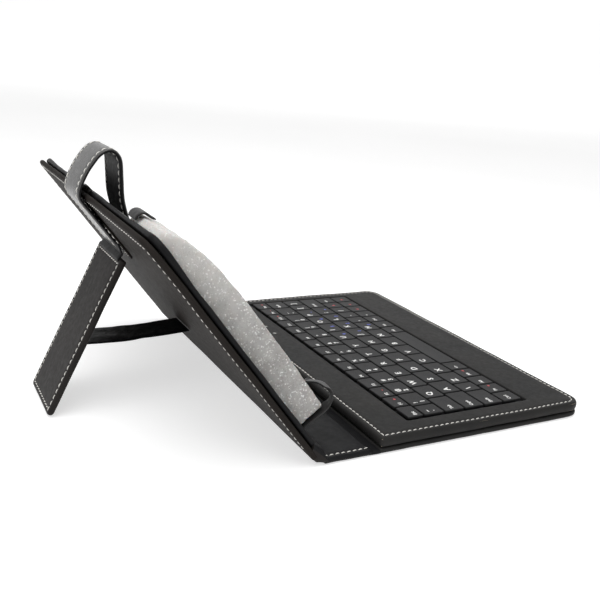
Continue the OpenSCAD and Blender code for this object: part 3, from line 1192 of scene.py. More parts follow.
@dataclass
class KeyBlock:
    """The keycaps, each a thin rounded cap with a shallow dish, a stem below it and its printed marks."""

    finishes: Finishes
    press: LegendPress = field(default_factory=LegendPress)
    cap_t: float = 1.3
    radius: float = 0.7
    dish: float = 0.06
    stem_w: float = 4.0

    def cap(self, draft: Draft, low: Vector, high: Vector) -> None:
        """Adds one keycap with its stem.

        Args:
            draft: Mesh that takes it.
            low: Lowest corner of the key's packed box.
            high: Its highest corner.
        """
        shape = Outline(low.x, high.x, low.y, high.y, self.radius, self.radius, 3, 3, 3)
        top, base = high.z, high.z - self.cap_t
        profile = [
            (0.3, base), (0.06, base + 0.1), (0.0, base + 0.35), (0.03, top - 0.3), (0.09, top - 0.1),
            (0.22, top - 0.01), (0.4, top), (1.5, top - self.dish * 0.5), (2.6, top - self.dish),
        ]
        rings = [shape.loop(i, z) for i, z in profile]
        draft.rings(rings)
        draft.cap(rings[0])
        draft.cap(rings[-1])
        x, y, h = (low.x + high.x) / 2, (low.y + high.y) / 2, self.stem_w / 2
        stem = Outline(x - h, x + h, y - h, y + h, 0.4, 0.4, 1, 1, 2)
        legs = [stem.loop(0.2, low.z), stem.loop(0.0, low.z + 0.2), stem.loop(0.0, base + 0.3)]
        draft.rings(legs)
        draft.cap(legs[0])
        draft.cap(legs[-1])

    def build(self, node: str, marks: Sequence[Sequence[Mark]]) -> None:
        """Builds the keycaps of one node, with their marks.

        Args:
            node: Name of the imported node, which is its body's name too.
            marks: The marks of each cap, from the left of the back row onwards.
        """
        caps, print_layer = Draft(), Draft()
        boxes = islands(node)
        for (low, high), cap_marks in zip(boxes, marks):
            self.cap(caps, low, high)
            corner = Vector((low.x, high.y, high.z - 0.035))
            for mark in cap_marks:
                self.press.stamp(print_layer, mark, corner)
        for low, high in boxes[len(marks) :]:
            self.cap(caps, low, high)
        piece = make_piece(f"{node}_caps", caps, [self.finishes.keycap], sharp=60)
        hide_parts(node)
        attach(piece, node)
        if print_layer.faces:
            inks = [self.finishes.white_ink, self.finishes.red_ink, self.finishes.blue_ink]
            legend = make_piece(f"{node}_print", print_layer, inks, sharp=30)
            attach(legend, node)


def letters(text: str, blue: str = "") -> list[list[Mark]]:
    """Gives the marks of a run of letter keys.

    Args:
        text: One character for each key.
        blue: One smaller mark for each key, where a space means none.

    Returns:
        The marks of each key.
    """
    made = []
    for i, character in enumerate(text):
        marks = [Mark(character, 2.2, 6.6, 4.9)]
        if i < len(blue) and blue[i] != " ":
            marks.append(Mark(blue[i], 7.9, 9.4, 3.4, Ink.BLUE))
        made.append(marks)
    return made


def words(names: Sequence[str], size: float = 2.7, reds: str = "") -> list[list[Mark]]:
    """Gives the marks of a run of keys that have short plain names.

    Args:
        names: The name of each key.
        size: Size of the type.
        reds: A second red mark for each key, where a space means none.

    Returns:
        The marks of each key.
    """
    made = []
    for i, name in enumerate(names):
        marks = [Mark(name, 1.5, 6.3, size)]
        if i < len(reds) and reds[i] != " ":
            marks.append(Mark(reds[i], 7.0, 6.5, 3.0, Ink.RED))
        made.append(marks)
    return made


def number_marks() -> list[list[Mark]]:
    """Gives the marks of the number row: a figure with its shifted sign above it."""
    pairs = zip("`1234567890-", "~!@#$%^&*()_")
    return [[Mark(figure, 2.2, 9.5, 3.9), Mark(sign, 2.2, 4.8, 3.5)] for figure, sign in pairs]


@dataclass
class KeyboardPanel:
    """The front half: the lower cover flap, the framed deck on it, and the keyboard module in its window."""

    finishes: Finishes
    corner_radius: float = 9.0
    square_radius: float = 1.6
    stitching: Stitching = field(default_factory=Stitching)

    def shape(self, salt: float) -> Shape:
        """Gives the worn shape of a panel: edges that wander a little and faces that lie a little uneven.

        Args:
            salt: Number that sets this panel's waves apart.

        Returns:
            The function that moves each point.
        """

        def moved(p: Vector) -> Vector:
            """Moves one point of the panel."""
            edge = smooth(max(abs(p.x) - (HALF_W - 14), abs(p.y) - (CASE_HIGH.y - 12)), 0, 12)
            lift = 0.22 * edge * wave(p, 26, salt) + 0.1 * edge * wave(p, 9, salt + 3)
            wander = 0.25 * edge
            return p + Vector((wander * wave(p, 24, salt + 5), wander * wave(p, 24, salt + 8), lift))

        return moved

    def build(self) -> None:
        """Builds the panel and dresses what the frame keeps of it."""
        self.flap()
        self.deck()
        self.inlet()
        self.light_rims()
        dress_node(["front_cover_board", "keyboard_frame_board"], self.finishes.greyboard)
        dress_node(["keyboard_tray", "key_guide_plate"], self.finishes.moulded)
        dress_node(["membrane_circuit"], self.finishes.membrane)
        dress_node(["rubber_dome_sheet"], self.finishes.domes)
        dress_node(["controller_board"], self.finishes.circuit)
        dress_node(["controller_chips"], self.finishes.chips)
        dress_node(["status_lights"], self.finishes.lens)
        dress_node(["closure_plate"], self.finishes.steel)
        self.keys()

    def flap(self) -> None:
        """Builds the lower cover flap, whose outer face lies on the table."""
        low, high = box_mm("front_cover_skin")
        edge = Outline(low.x, high.x, low.y, high.y, self.corner_radius, self.square_radius)
        panel = SoftPanel(edge, low.z + 0.25, high.z, (Face.LOW,), seam_dip=0.2)
        shape = self.shape(1.3)
        piece = make_piece("front_cover_flap", panel.draft(shape), [self.finishes.deck])
        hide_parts("front_cover_skin")
        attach(piece, "keyboard_panel")
        thin = Stitching(rise=0.12)
        seats = [(shape(p), Vector((0, 0, -1))) for p in edge.loop(panel.seam_inset, low.z + 0.38)]
        row = Draft()
        thin.sew(row, seats, closed=True)
        stitches = make_piece("front_cover_stitches", row, [self.finishes.thread], sharp=STITCH_SHARP)
        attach(stitches, "keyboard_panel")

    def deck(self) -> None:
        """Builds the deck round the keys, with its rolled window edge and its seam."""
        low, high = box_mm("keyboard_frame_skin")
        window_low, window_high = box_mm("keyboard_tray")
        edge = Outline(low.x, high.x, low.y, high.y, self.corner_radius, self.square_radius)
        gap = 0.1
        window = Outline(
            window_low.x - gap, window_high.x + gap, window_low.y - gap, window_high.y + gap, 1.0, 1.0
        )
        panel = SoftPanel(edge, low.z, high.z, (Face.HIGH,), window=window, flat_inset=6.0)
        shape = self.shape(4.1)
        piece = make_piece("keyboard_deck", panel.draft(shape), [self.finishes.deck])
        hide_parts("keyboard_frame_skin")
        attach(piece, "keyboard_panel")
        level = panel.high - panel.seam_dip
        seats = [(shape(p), Vector((0, 0, 1))) for p in edge.loop(panel.seam_inset, level)]
        row = Draft()
        self.stitching.sew(row, seats, closed=True)
        stitches = make_piece("keyboard_deck_stitches", row, [self.finishes.thread], sharp=STITCH_SHARP)
        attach(stitches, "keyboard_panel")

    def inlet(self) -> None:
        """Builds the rubber collar of the lead's inlet in the deck's back edge."""
        low, high = box_mm("lead_grommet")
        x, z = (low.x + high.x) / 2, (low.z + high.z) / 2
        turns = [2 * math.pi * i / 20 for i in range(20)]
        profile = [
            (1.5, low.y), (1.5, high.y - 0.2), (2.1, high.y - 0.1),
            (2.2, high.y + 0.05), (1.9, high.y + 0.15),
            (1.3, high.y + 0.17), (1.0, high.y + 0.05), (1.0, high.y - 3.4),
        ]
        rings = [[Vector((x + r * math.cos(a), y, z + r * math.sin(a))) for a in turns] for r, y in profile]
        collar = Draft()
        collar.rings(rings)
        collar.cap(rings[0])
        collar.cap(rings[-1])
        piece = make_piece("lead_inlet_collar", collar, [self.finishes.rubber])
        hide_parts("lead_grommet")
        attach(piece, "keyboard_panel")

    def light_rims(self) -> None:
        """Builds the thin rims round the two status lights."""
        rims = Draft()
        turns = [2 * math.pi * i / 20 for i in range(20)]
        for low, high in islands("status_lights"):
            x, y, top = (low.x + high.x) / 2, (low.y + high.y) / 2, high.z
            profile = [(0.92, -0.6), (0.92, 0.02), (1.1, 0.12), (1.35, 0.06), (1.4, -0.6)]
            rings = [
                [Vector((x + r * math.cos(a), y + r * math.sin(a), top + rise)) for a in turns]
                for r, rise in profile
            ]
            rims.rings(rings, closed=True)
        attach(make_piece("status_light_rims", rims, [self.finishes.moulded]), "keyboard_panel")

    def keys(self) -> None:
        """Builds every key with plain marks."""
        block = KeyBlock(self.finishes)
        block.build("escape_key", words(["Esc"]))
        function = [f"F{i}" for i in range(1, 13)] + ["Prt", "Pse"]
        block.build("function_keys", words(function, reds="+-         +-="))
        block.build("number_keys", number_marks())
        block.build("backspace_key", words(["Back"]))
        block.build("tab_key", words(["Tab"]))
        block.build("upper_letter_keys", letters("QWERTYUIOP[]", "      456-  "))
        block.build("caps_lock_key", words(["Caps"]))
        block.build("home_letter_keys", letters("ASDFGHJKL;", "      123+"))
        block.build("enter_key", words(["Enter"]))
        block.build("left_shift_key", words(["Shift"]))
        block.build("lower_letter_keys", letters("\\ZXCVBNM,./", "       0  ."))
        block.build("up_arrow_key", [[Mark("^", 3.0, 8.0, 4.2, Ink.RED)]])
        block.build("right_shift_key", words(["Shift"], 2.0))
        block.build("modifier_keys", words(["Ctrl", "Fn", "Alt", "Alt", "<>"], reds=" + = "))
        block.build("space_bar", [[]])
        block.build("command_keys", words(["Alt", "Ins", "Del", "="]))
        block.build("left_arrow_key", [[Mark("<", 3.0, 7.2, 3.6, Ink.RED)]])
        block.build("down_arrow_key", [[Mark("v", 3.0, 7.2, 3.6, Ink.RED)]])
        block.build("right_arrow_key", [[Mark(">", 3.0, 7.2, 3.6, Ink.RED)]])


# ---- Spine and folds ---------------------------------------------------------


@dataclass
class Spine:
    """The narrow panel between the two folds, its lining, and the soft folds on either side of it."""

    finishes: Finishes
    stitching: Stitching = field(default_factory=Stitching)
    side_inset: float = 0.4
    seam_inset: float = 3.1
    fold_t: float = 2.0
    fold_step: float = 6.25
    fold_round: float = 2.6
    crease_y: float = 5.2
    crease_depth: float = 0.28

    def build(self) -> None:
        """Builds the spine and both folds."""
        self.plate()
        self.front_fold()
        self.rear_fold()
        dress_node(["spine_board"], self.finishes.greyboard)

    def lining_shape(self, p: Vector) -> Vector:
        """Creases and buckles the lining on the spine's upper face.

        Args:
            p: A point of the even shape, in its own frame.

        Returns:
            Its place on the worn shape.
        """
        low, high = box_mm("spine_lining")
        over = smooth(p.z, low.z - 1.0, high.z)
        inside = smooth(HALF_W - abs(p.x), 2, 12)
        line = low.y + self.crease_y + 0.7 * wave(p, 30, 6.2)
        dent = self.crease_depth * math.exp(-(((p.y - line) / 1.1) ** 2)) * inside
        buckle = 0.15 + 0.22 * wave(p, 16, 2.2) + 0.12 * wave(p, 6, 7.7)
        edge = smooth(abs(p.x), HALF_W - 12, HALF_W)
        return p + Vector((0.35 * edge * wave(p, 9, 9.1), 0, over * (buckle * (0.4 + 0.6 * inside) - dent)))

    def plate(self) -> None:
        """Builds the spine's padded panel, with the lining as its upper face."""
        low, high = box_mm("spine_skin")[0], box_mm("spine_lining")[1]
        half = HALF_W - self.side_inset
        edge = Outline(-half, half, low.y - 0.6, high.y + 0.9, 1.2, 1.2, 64, 16)
        panel = SoftPanel(
            edge, low.z + 0.2, high.z, (Face.HIGH,), seam_inset=self.seam_inset, seam_dip=0.2, flat_inset=7.6
        )
        made = panel.draft(self.lining_shape)
        middle = (low.z + high.z) / 2
        for k, corners in enumerate(made.faces):
            if min(made.points[c].z for c in corners) > middle:
                made.finish_of[k] = 1
        piece = make_piece("spine_panel", made, [self.finishes.deck, self.finishes.lining])
        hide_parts("spine_skin", "spine_lining")
        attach(piece, "spine")
        row = Draft()
        for side in (-1, 1):
            x = side * (half - self.seam_inset)
            line = resampled([Vector((x, low.y - 0.4, high.z)), Vector((x, high.y + 0.2, high.z))], 2.0)
            seats = [(self.lining_shape(p) - Vector((0, 0, 0.26)), Vector((0, 0, 1))) for p in line]
            self.stitching.sew(row, seats)
        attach(make_piece("spine_stitches", row, [self.finishes.thread], sharp=STITCH_SHARP), "spine")

    def front_fold(self) -> None:
        """Builds the soft strip that crosses the front fold under the groove."""
        middle = 0.1 + self.fold_t / 2
        ends = [Vector((0, y, middle)) for y in (CASE_HIGH.y - 1.2, FRONT_FOLD.y + 2.4)]

        def pleat(p: Vector) -> Vector:
            """Pulls the strip's ends in and ruffles its upper face."""
            edge = smooth(abs(p.x), HALF_W - 10, HALF_W)
            pull = -0.5 * edge * math.copysign(1, p.x) * (0.5 + wave(p, 3, 3.3))
            return p + Vector((pull, 0, 0.4 * wave(p, 4, 4.4) * (p.z > 0.8)))

        path = resampled(ends, 0.45)
        band = Band(path, 2 * HALF_W - 1.0, self.fold_t, crown=0.0, end_round=False, columns=60)
        piece = make_piece("front_fold_strip", band.draft(0, shape=pleat), [self.finishes.lining])
        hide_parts("front_hinge_strip")
        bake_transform(piece)

    def rear_fold(self) -> None:
        """Builds the padded fold at the foot of the cover, lined on its inner side."""
        spine_end = box_mm("spine_lining")[1].y
        reach = BACK_FOLD.y - spine_end
        outer = curved([
            Vector((0, spine_end - 1.2, 0.25)), Vector((0, spine_end + 0.9, 0.3)),
            Vector((0, BACK_FOLD.y - 0.3, 1.0)),
            on_cover(0, reach + 0.3, 0.12), on_cover(0, reach + 2.2, 0.1),
        ])
        inner = curved([
            Vector((0, spine_end - 1.2, FLAP_T - 0.35)), Vector((0, spine_end + 0.5, FLAP_T + 0.1)),
            on_cover(0, 5.2, 6.0) + Vector((0, -1.4, -0.3)), on_cover(0, 8.4, 5.5), on_cover(0, 10.2, 5.2),
        ])
        count = 16
        outer, inner = (even(resampled(path, self.fold_step), count) for path in (outer, inner))
        middle = [a.lerp(b, 0.5) for a, b in zip(outer, inner)]
        half, flat = HALF_W - 0.3, HALF_W - 0.3 - self.fold_round
        side = [(half, 0.22), (half - 0.2, 0.5), (half - 0.7, 0.78), (half - 1.5, 0.94), (flat, 1.0)]
        columns = side + [(flat - 2 * flat * i / 60, 1.0) for i in range(1, 60)]
        columns += [(-x, full) for x, full in reversed(side)]
        rings = []
        for x, full in columns:
            ring = [m + (p - m) * full for p, m in zip(outer, middle)]
            ring += reversed([m + (p - m) * full for p, m in zip(inner, middle)])
            rings.append([self.rear_shape(Vector((x, p.y, p.z)), k > count) for k, p in enumerate(ring)])
        made = Draft()
        made.rings(rings)
        ring_size = len(rings[0])
        for k, corners in enumerate(made.faces):
            if all(c % ring_size > count for c in corners):
                made.finish_of[k] = 1
        for ring in (rings[0], rings[-1]):
            made.patch([ring[: count + 1], list(reversed(ring[count + 1 :]))])
        piece = make_piece("rear_fold_pad", made, [self.finishes.leg, self.finishes.lining])
        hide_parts("rear_hinge_strip", "rear_lining_strip")
        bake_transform(piece)

    def rear_shape(self, p: Vector, lined: bool) -> Vector:
        """Buckles the fold's skin, more on its lined side."""
        deep = 0.3 if lined else 0.18
        edge = smooth(abs(p.x), HALF_W - 14, HALF_W)
        return p + Vector((0.4 * edge * wave(p, 6, 1.1), 0, deep * wave(p, 9, 5.1)))


# ---- Back cover --------------------------------------------------------------


@dataclass
class BackCover:
    """The tablet's half: the outer cover, the holder panel, the foam insert, its elastics and the patch."""

    finishes: Finishes
    stitching: Stitching = field(default_factory=Stitching)
    corner_radius: float = 9.0
    cover_start: float = 3.4
    holder_low: float = 9.0
    holder_high: float = 126.5
    holder_base: float = 3.3
    holder_face: float = 5.7
    foam_low: float = 15.0
    foam_high: float = 124.0
    foam_dip: float = 104.0
    foam_bend: float = 76.0
    foam_half: float = 93.0
    foam_corner: float = 56.0
    foam_front: float = 19.0
    foam_gap: float = 0.15
    foam_dip_front: float = 11.3
    corner_profile: tuple[tuple[float, float], ...] = (
        (84.0, 19.3), (97.0, 18.3), (107.0, 16.9), (115.0, 14.6), (124.0, 10.0)
    )
    patch_half: float = 17.5
    patch_low: float = 92.5
    patch_high: float = 113.5

    def build(self) -> None:
        """Builds the cover and what it carries."""
        self.cover()
        self.holder()
        self.foam()
        self.top_loops()
        self.bottom_loops()
        self.patch()
        dress_node(["back_cover_board", "holder_board"], self.finishes.greyboard)

    def cover_shape(self, p: Vector) -> Vector:
        """Gives the cover's worn shape: wavy edges, and a slight bow between them.

        Args:
            p: A point of the even shape, in its own frame.

        Returns:
            Its place on the worn shape.
        """
        edge = smooth(abs(p.x), HALF_W - 12, HALF_W)
        top = smooth(p.y, COVER_TOP - 12, COVER_TOP)
        rim = max(edge, top)
        lift = 0.2 * rim * wave(p, 18, 5.5) + 0.12 * wave(p, 30, 6.6)
        return p + Vector((0.3 * edge * wave(p, 22, 8.4), 0.25 * top * wave(p, 22, 3.7), lift))

    def cover(self) -> None:
        """Builds the outer cover with its seam."""
        edge = Outline(-HALF_W, HALF_W, self.cover_start, COVER_TOP, 1.2, self.corner_radius)
        panel = SoftPanel(edge, 0.12, FLAP_T, (Face.LOW,))
        piece = make_piece("back_cover_panel", panel.draft(self.cover_shape), [self.finishes.cover], COVER)
        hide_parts("back_cover_skin")
        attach(piece, "back_cover")
        loop = edge.loop(panel.seam_inset, panel.low + panel.seam_dip)
        kept = [p for p in loop if p.y >= self.cover_start + 3.2]
        seats = [(self.cover_shape(p), Vector((0, 0, -1))) for p in kept]
        row = Draft()
        self.stitching.sew(row, seats)
        stitches = make_piece("back_cover_stitches", row, [self.finishes.thread], COVER, STITCH_SHARP)
        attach(stitches, "back_cover")

    def holder_shape(self, p: Vector) -> Vector:
        """Gives the holder's worn shape: its top corners stand off the cover a little.

        Args:
            p: A point of the even shape, in its own frame.

        Returns:
            Its place on the worn shape.
        """
        corner = smooth(abs(p.x), 66, 98) * smooth(p.y, 96, 124)
        middle = smooth(p.y, 104, 126) * (1 - smooth(abs(p.x), 10, 40))
        rim = max(smooth(abs(p.x), HALF_W - 14, HALF_W), smooth(p.y, 114, 126))
        face = smooth(p.z, self.holder_base, self.holder_face)
        lift = 0.7 * corner + 0.4 * middle + 0.3 * rim * wave(p, 14, 4.8)
        return p + Vector((0, 0.3 * rim * wave(p, 16, 2.9), face * lift))

    def holder(self) -> None:
        """Builds the lined holder panel, with two thread tacks and a lump of the seam on its top edge."""
        half = HALF_W - 1.5
        edge = Outline(-half, half, self.holder_low - 0.6, self.holder_high, 1.2, self.corner_radius - 1)
        panel = SoftPanel(edge, self.holder_base, self.holder_face, ())
        piece = make_piece("holder_panel", panel.draft(self.holder_shape), [self.finishes.lining], COVER)
        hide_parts("holder_skin")
        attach(piece, "back_cover")
        tacks = Draft()
        thick = Stitching(pitch=1.1, length=2.6, width=0.75, rise=0.25, slant=0.0)
        top = self.holder_high + 0.05
        for x, lean in ((22.0, 2.5), (24.5, 1.0)):
            ends = [Vector((x, top, self.holder_base + 0.2)), Vector((x + lean, top, self.holder_face + 0.4))]
            thick.sew(tacks, [(self.holder_shape(p), Vector((0, 1, 0))) for p in ends])
        stitches = make_piece("holder_thread_tacks", tacks, [self.finishes.thread], COVER, STITCH_SHARP)
        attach(stitches, "back_cover")
        rise = ((-5.5, -0.6), (-3.4, 1.0), (0.0, 1.7), (3.4, 1.0), (5.5, -0.6))
        line = resampled(curved([Vector((x, self.holder_high + up, 4.4)) for x, up in rise]), 0.6)
        tab = Band(line, 2.6, 1.7, [Vector((0, 0, 1))], crown=0.2)
        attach(make_piece("holder_seam_lump", tab.draft(), [self.finishes.strap], COVER), "back_cover")

    def foam_face(self, x: float, up: float) -> float:
        """Gives how far the foam's front face stands off the cover.

        Args:
            x: Place across the cover.
            up: Height up the cover.

        Returns:
            The distance off the cover's outer face.
        """
        slope = (self.foam_front - self.foam_dip_front) / (self.foam_dip - self.foam_bend)
        low = self.foam_front - slope * max(up - self.foam_bend, 0.0)
        high = self.corner_profile[-1][1]
        for (up_a, off_a), (up_b, off_b) in zip(self.corner_profile, self.corner_profile[1:]):
            if up <= up_b:
                high = off_a + (off_b - off_a) * max(up - up_a, 0.0) / (up_b - up_a)
                break
        return low + (high - low) * smooth(-x, self.foam_corner - 4, self.foam_corner + 2)

    def foam_shape(self, p: Vector) -> Vector:
        """Shapes the foam block from its square blank: one raised corner, a thinner top and torn cells.

        Args:
            p: A point of the even shape, in its own frame.

        Returns:
            Its place on the worn shape.
        """
        corner = smooth(-p.x, self.foam_corner - 4, self.foam_corner + 3)
        top = self.foam_dip + (self.foam_high - self.foam_dip) * corner
        reach = (top - self.foam_low) / (self.foam_high - self.foam_low)
        up = self.foam_low + (p.y - self.foam_low) * reach
        back = self.holder_face + self.foam_gap
        swell = 0.5 * math.sin(math.pi * smooth(up, self.foam_low, self.foam_bend))
        front = self.foam_face(p.x, up) + swell
        off = back + (p.z - back) * (front - back) / (self.foam_front - back)
        depth = (off - back) / (front - back)
        side = smooth(abs(p.x), self.foam_half - 3, self.foam_half)
        torn = (1 - smooth(up, self.foam_low, self.foam_low + 3)) * depth
        rough = wave(p, 2.3, 4.2) * 0.22 + wave(p, 6.5, 1.7) * 0.3
        pull = Vector((-math.copysign(side, p.x) * (0.25 + rough), 0, 0))
        ragged = Vector((0, torn * (0.5 + 1.9 * wave(p, 1.9, 8.8)), depth * (rough - 0.2)))
        return Vector((p.x, up, off)) + pull + ragged

    def foam(self) -> None:
        """Builds the foam insert."""
        made = Draft()
        back, front = self.holder_face + self.foam_gap, self.foam_front
        blank = Outline(-self.foam_half, self.foam_half, self.foam_low, self.foam_high, 2.0, 5.0, 88, 54, 4)
        profile = [(6.0, back), (2.0, back), (0.4, back)]
        profile += [(0.05, back + (front - back) * k / 7) for k in range(1, 7)]
        profile += [(0.25, front - 0.7), (0.8, front - 0.2), (1.8, front), (3.6, front), (6.0, front)]
        made.rings([[self.foam_shape(p) for p in blank.loop(i, z)] for i, z in profile])
        for z in (back, front):
            made.patch([[self.foam_shape(p) for p in row] for row in blank.field(6.0, z)])
        piece = make_piece("foam_block", made, [self.finishes.foam], COVER, 70)
        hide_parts("foam_insert")
        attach(piece, "back_cover")

    def top_loops(self) -> None:
        """Builds the top elastics: one hooked over the foam's raised corner, one slack on the holder."""
        x = sum(v.x for v in box_mm("top_left_loop")) / 2 - 1.0
        hooked = [(up, self.foam_face(x, up) + 1.1) for up in (120.6, 122.6)]
        hooked += [(124.8, 11.3), (126.2, 9.8), (126.4, 8.0), (125.6, 6.4)]
        self.elastic("top_left", [Vector((x, up, off)) for up, off in hooked])
        x = sum(v.x for v in box_mm("top_right_loop")) / 2
        slack = [(105.5, 6.15), (109.0, 6.5), (114.0, 6.9), (119.0, 6.6), (122.5, 6.15)]
        self.elastic("top_right", [Vector((x, up, off)) for up, off in slack])

    def elastic(self, place: str, points: Sequence[Vector]) -> None:
        """Builds one top elastic along a curve.

        Args:
            place: Corner of the cover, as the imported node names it.
            points: Points of the band's middle line in the cover's frame.
        """
        low, high = box_mm(f"{place}_loop")
        band = Band(resampled(curved(points), 0.9), high.x - low.x - 1.0, 0.95, crown=0.1)
        made = band.draft(shape=self.elastic_wave)
        piece = make_piece(f"{place}_elastic", made, [self.finishes.elastic], COVER)
        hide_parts(f"{place}_loop")
        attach(piece, "back_cover")

    @staticmethod
    def elastic_wave(p: Vector) -> Vector:
        """Makes an elastic band a little uneven."""
        return p + Vector((0.25 * wave(p, 6, 1.2), 0.1 * wave(p, 4, 3.4), 0.12 * wave(p, 5, 7.1)))

    def bottom_loops(self) -> None:
        """Builds the elastic hoops that arch forward from under the foam's lower corners."""
        rail = [
            (90.2, 13.7, 6.4), (90.5, 13.5, 12.0), (91.0, 13.3, 18.6), (91.4, 14.2, 22.6),
            (89.4, 15.0, 25.4), (85.0, 15.4, 26.3), (80.0, 16.6, 25.9), (76.0, 17.6, 23.6),
            (73.0, 16.8, 22.4), (70.6, 15.0, 20.8), (69.8, 13.6, 15.5), (69.5, 13.4, 10.0), (69.4, 13.5, 6.4),
        ]
        wides = [
            (1, 0, 0), (1, 0, 0), (1, 0, 0), (0.95, -0.3, 0),
            (0.85, -0.5, 0.1), (0.7, -0.6, 0.3), (0.55, -0.65, 0.45), (0.5, -0.6, 0.5),
            (0.6, -0.6, 0.3), (0.9, -0.3, 0.1), (1, 0, 0), (1, 0, 0), (1, 0, 0),
        ]
        curl = curved([Vector(wide) for wide in wides])
        for side, name in ((-1, "left"), (1, "right")):
            path = curved([Vector((side * x, up, off)) for x, up, off in rail])
            turns = [Vector((w.x, -side * w.y, -side * w.z)).normalized() for w in curl]
            band = Band(path, 5.6, 0.9, turns, crown=0.1)
            piece = make_piece(f"bottom_{name}_elastic", band.draft(), [self.finishes.elastic], COVER)
            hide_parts(f"bottom_{name}_loop")
            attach(piece, "back_cover")
            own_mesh(piece)

    def patch(self) -> None:
        """Builds the anchor patch that is sewn over the roots of the strap and the leg."""
        half = self.patch_half
        edge = Outline(-half, half, self.patch_low, self.patch_high, 3.0, 3.0, 18, 10, 4)
        panel = SoftPanel(edge, -0.8, 0.05, (Face.LOW,), seam_inset=2.2, seam_dip=0.15, flat_inset=5.5)

        def swell(p: Vector) -> Vector:
            """Swells the patch over what it covers."""
            proud = 0.08 * smooth(-p.z, 0, 0.8) * (1 + wave(p, 11, 2.6))
            return p + Vector((0, 0.3 * wave(p, 9, 3.8), -proud))

        piece = make_piece("anchor_patch_cover", panel.draft(swell), [self.finishes.cover], COVER)
        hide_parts("anchor_patch")
        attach(piece, "back_cover")
        row = Draft()
        seats = [(swell(p), Vector((0, 0, -1))) for p in edge.loop(panel.seam_inset, -0.62)]
        self.stitching.sew(row, seats, closed=True)
        stitches = make_piece("anchor_patch_stitches", row, [self.finishes.thread], COVER, STITCH_SHARP)
        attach(stitches, "back_cover")


# ---- Closure strap -----------------------------------------------------------


@dataclass
class Strap:
    """The closure strap: one padded band, looped over the cover's top edge, sewn along both sides."""

    finishes: Finishes
    width: float = 28.0
    thick: float = 1.6
    rail: tuple[tuple[float, float], ...] = (
        (101.0, -1.75), (110.0, -1.75), (120.0, -1.8), (126.6, -1.9),
        (129.6, -1.3), (132.5, 1.5), (136.0, 8.0), (138.0, 14.0),
        (138.6, 17.0), (138.4, 20.0), (137.0, 22.5), (134.0, 23.5),
        (130.5, 22.6), (124.0, 18.2), (116.0, 12.9), (106.0, 8.6),
    )
    split_up: float = 134.2
    bend_reach: float = 2.5
    stitching: Stitching = field(default_factory=lambda: Stitching(length=2.5))

    def build(self) -> None:
        """Builds the strap's two halves, which meet in the middle of the part that lifts."""
        line = resampled(curved([Vector((0, up, off)) for up, off in self.rail], 10), 0.9)
        rising = [i for i, p in enumerate(line) if p.z <= 12]
        cut = min(rising, key=lambda i: abs(line[i].y - self.split_up))
        first = self.half("strap_root_half", line[: cut + 1])
        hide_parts("strap_root", "strap_middle")
        joint = joint_point("strap_lift")
        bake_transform(first)
        second = self.half("strap_end_half", line[cut:])
        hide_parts("strap_end", "strap_middle")
        joint = joint_point("strap_end_lift")
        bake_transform(second)
        dress_node(["strap_magnet"], self.finishes.steel)

    def half(self, name: str, line: list[Vector]) -> bpy.types.Object:
        """Builds one half of the strap with its stitches.

        Args:
            name: Name of the piece.
            line: The half's middle line in the cover's frame.

        Returns:
            The piece.
        """
        band = Band(line, self.width, self.thick, crown=0.12, seam_inset=2.7, end_round=False, columns=10)
        made = band.draft(inner_finish=2)
        for side in (-1, 1):
            for face in (-1, 1):
                self.stitching.sew(made, band.seam(side, face), 1)
        finishes = [self.finishes.strap, self.finishes.thread, self.finishes.lining]
        piece = make_piece(name, made, finishes, COVER, 60)
        return piece


# ---- Kickstand ---------------------------------------------------------------


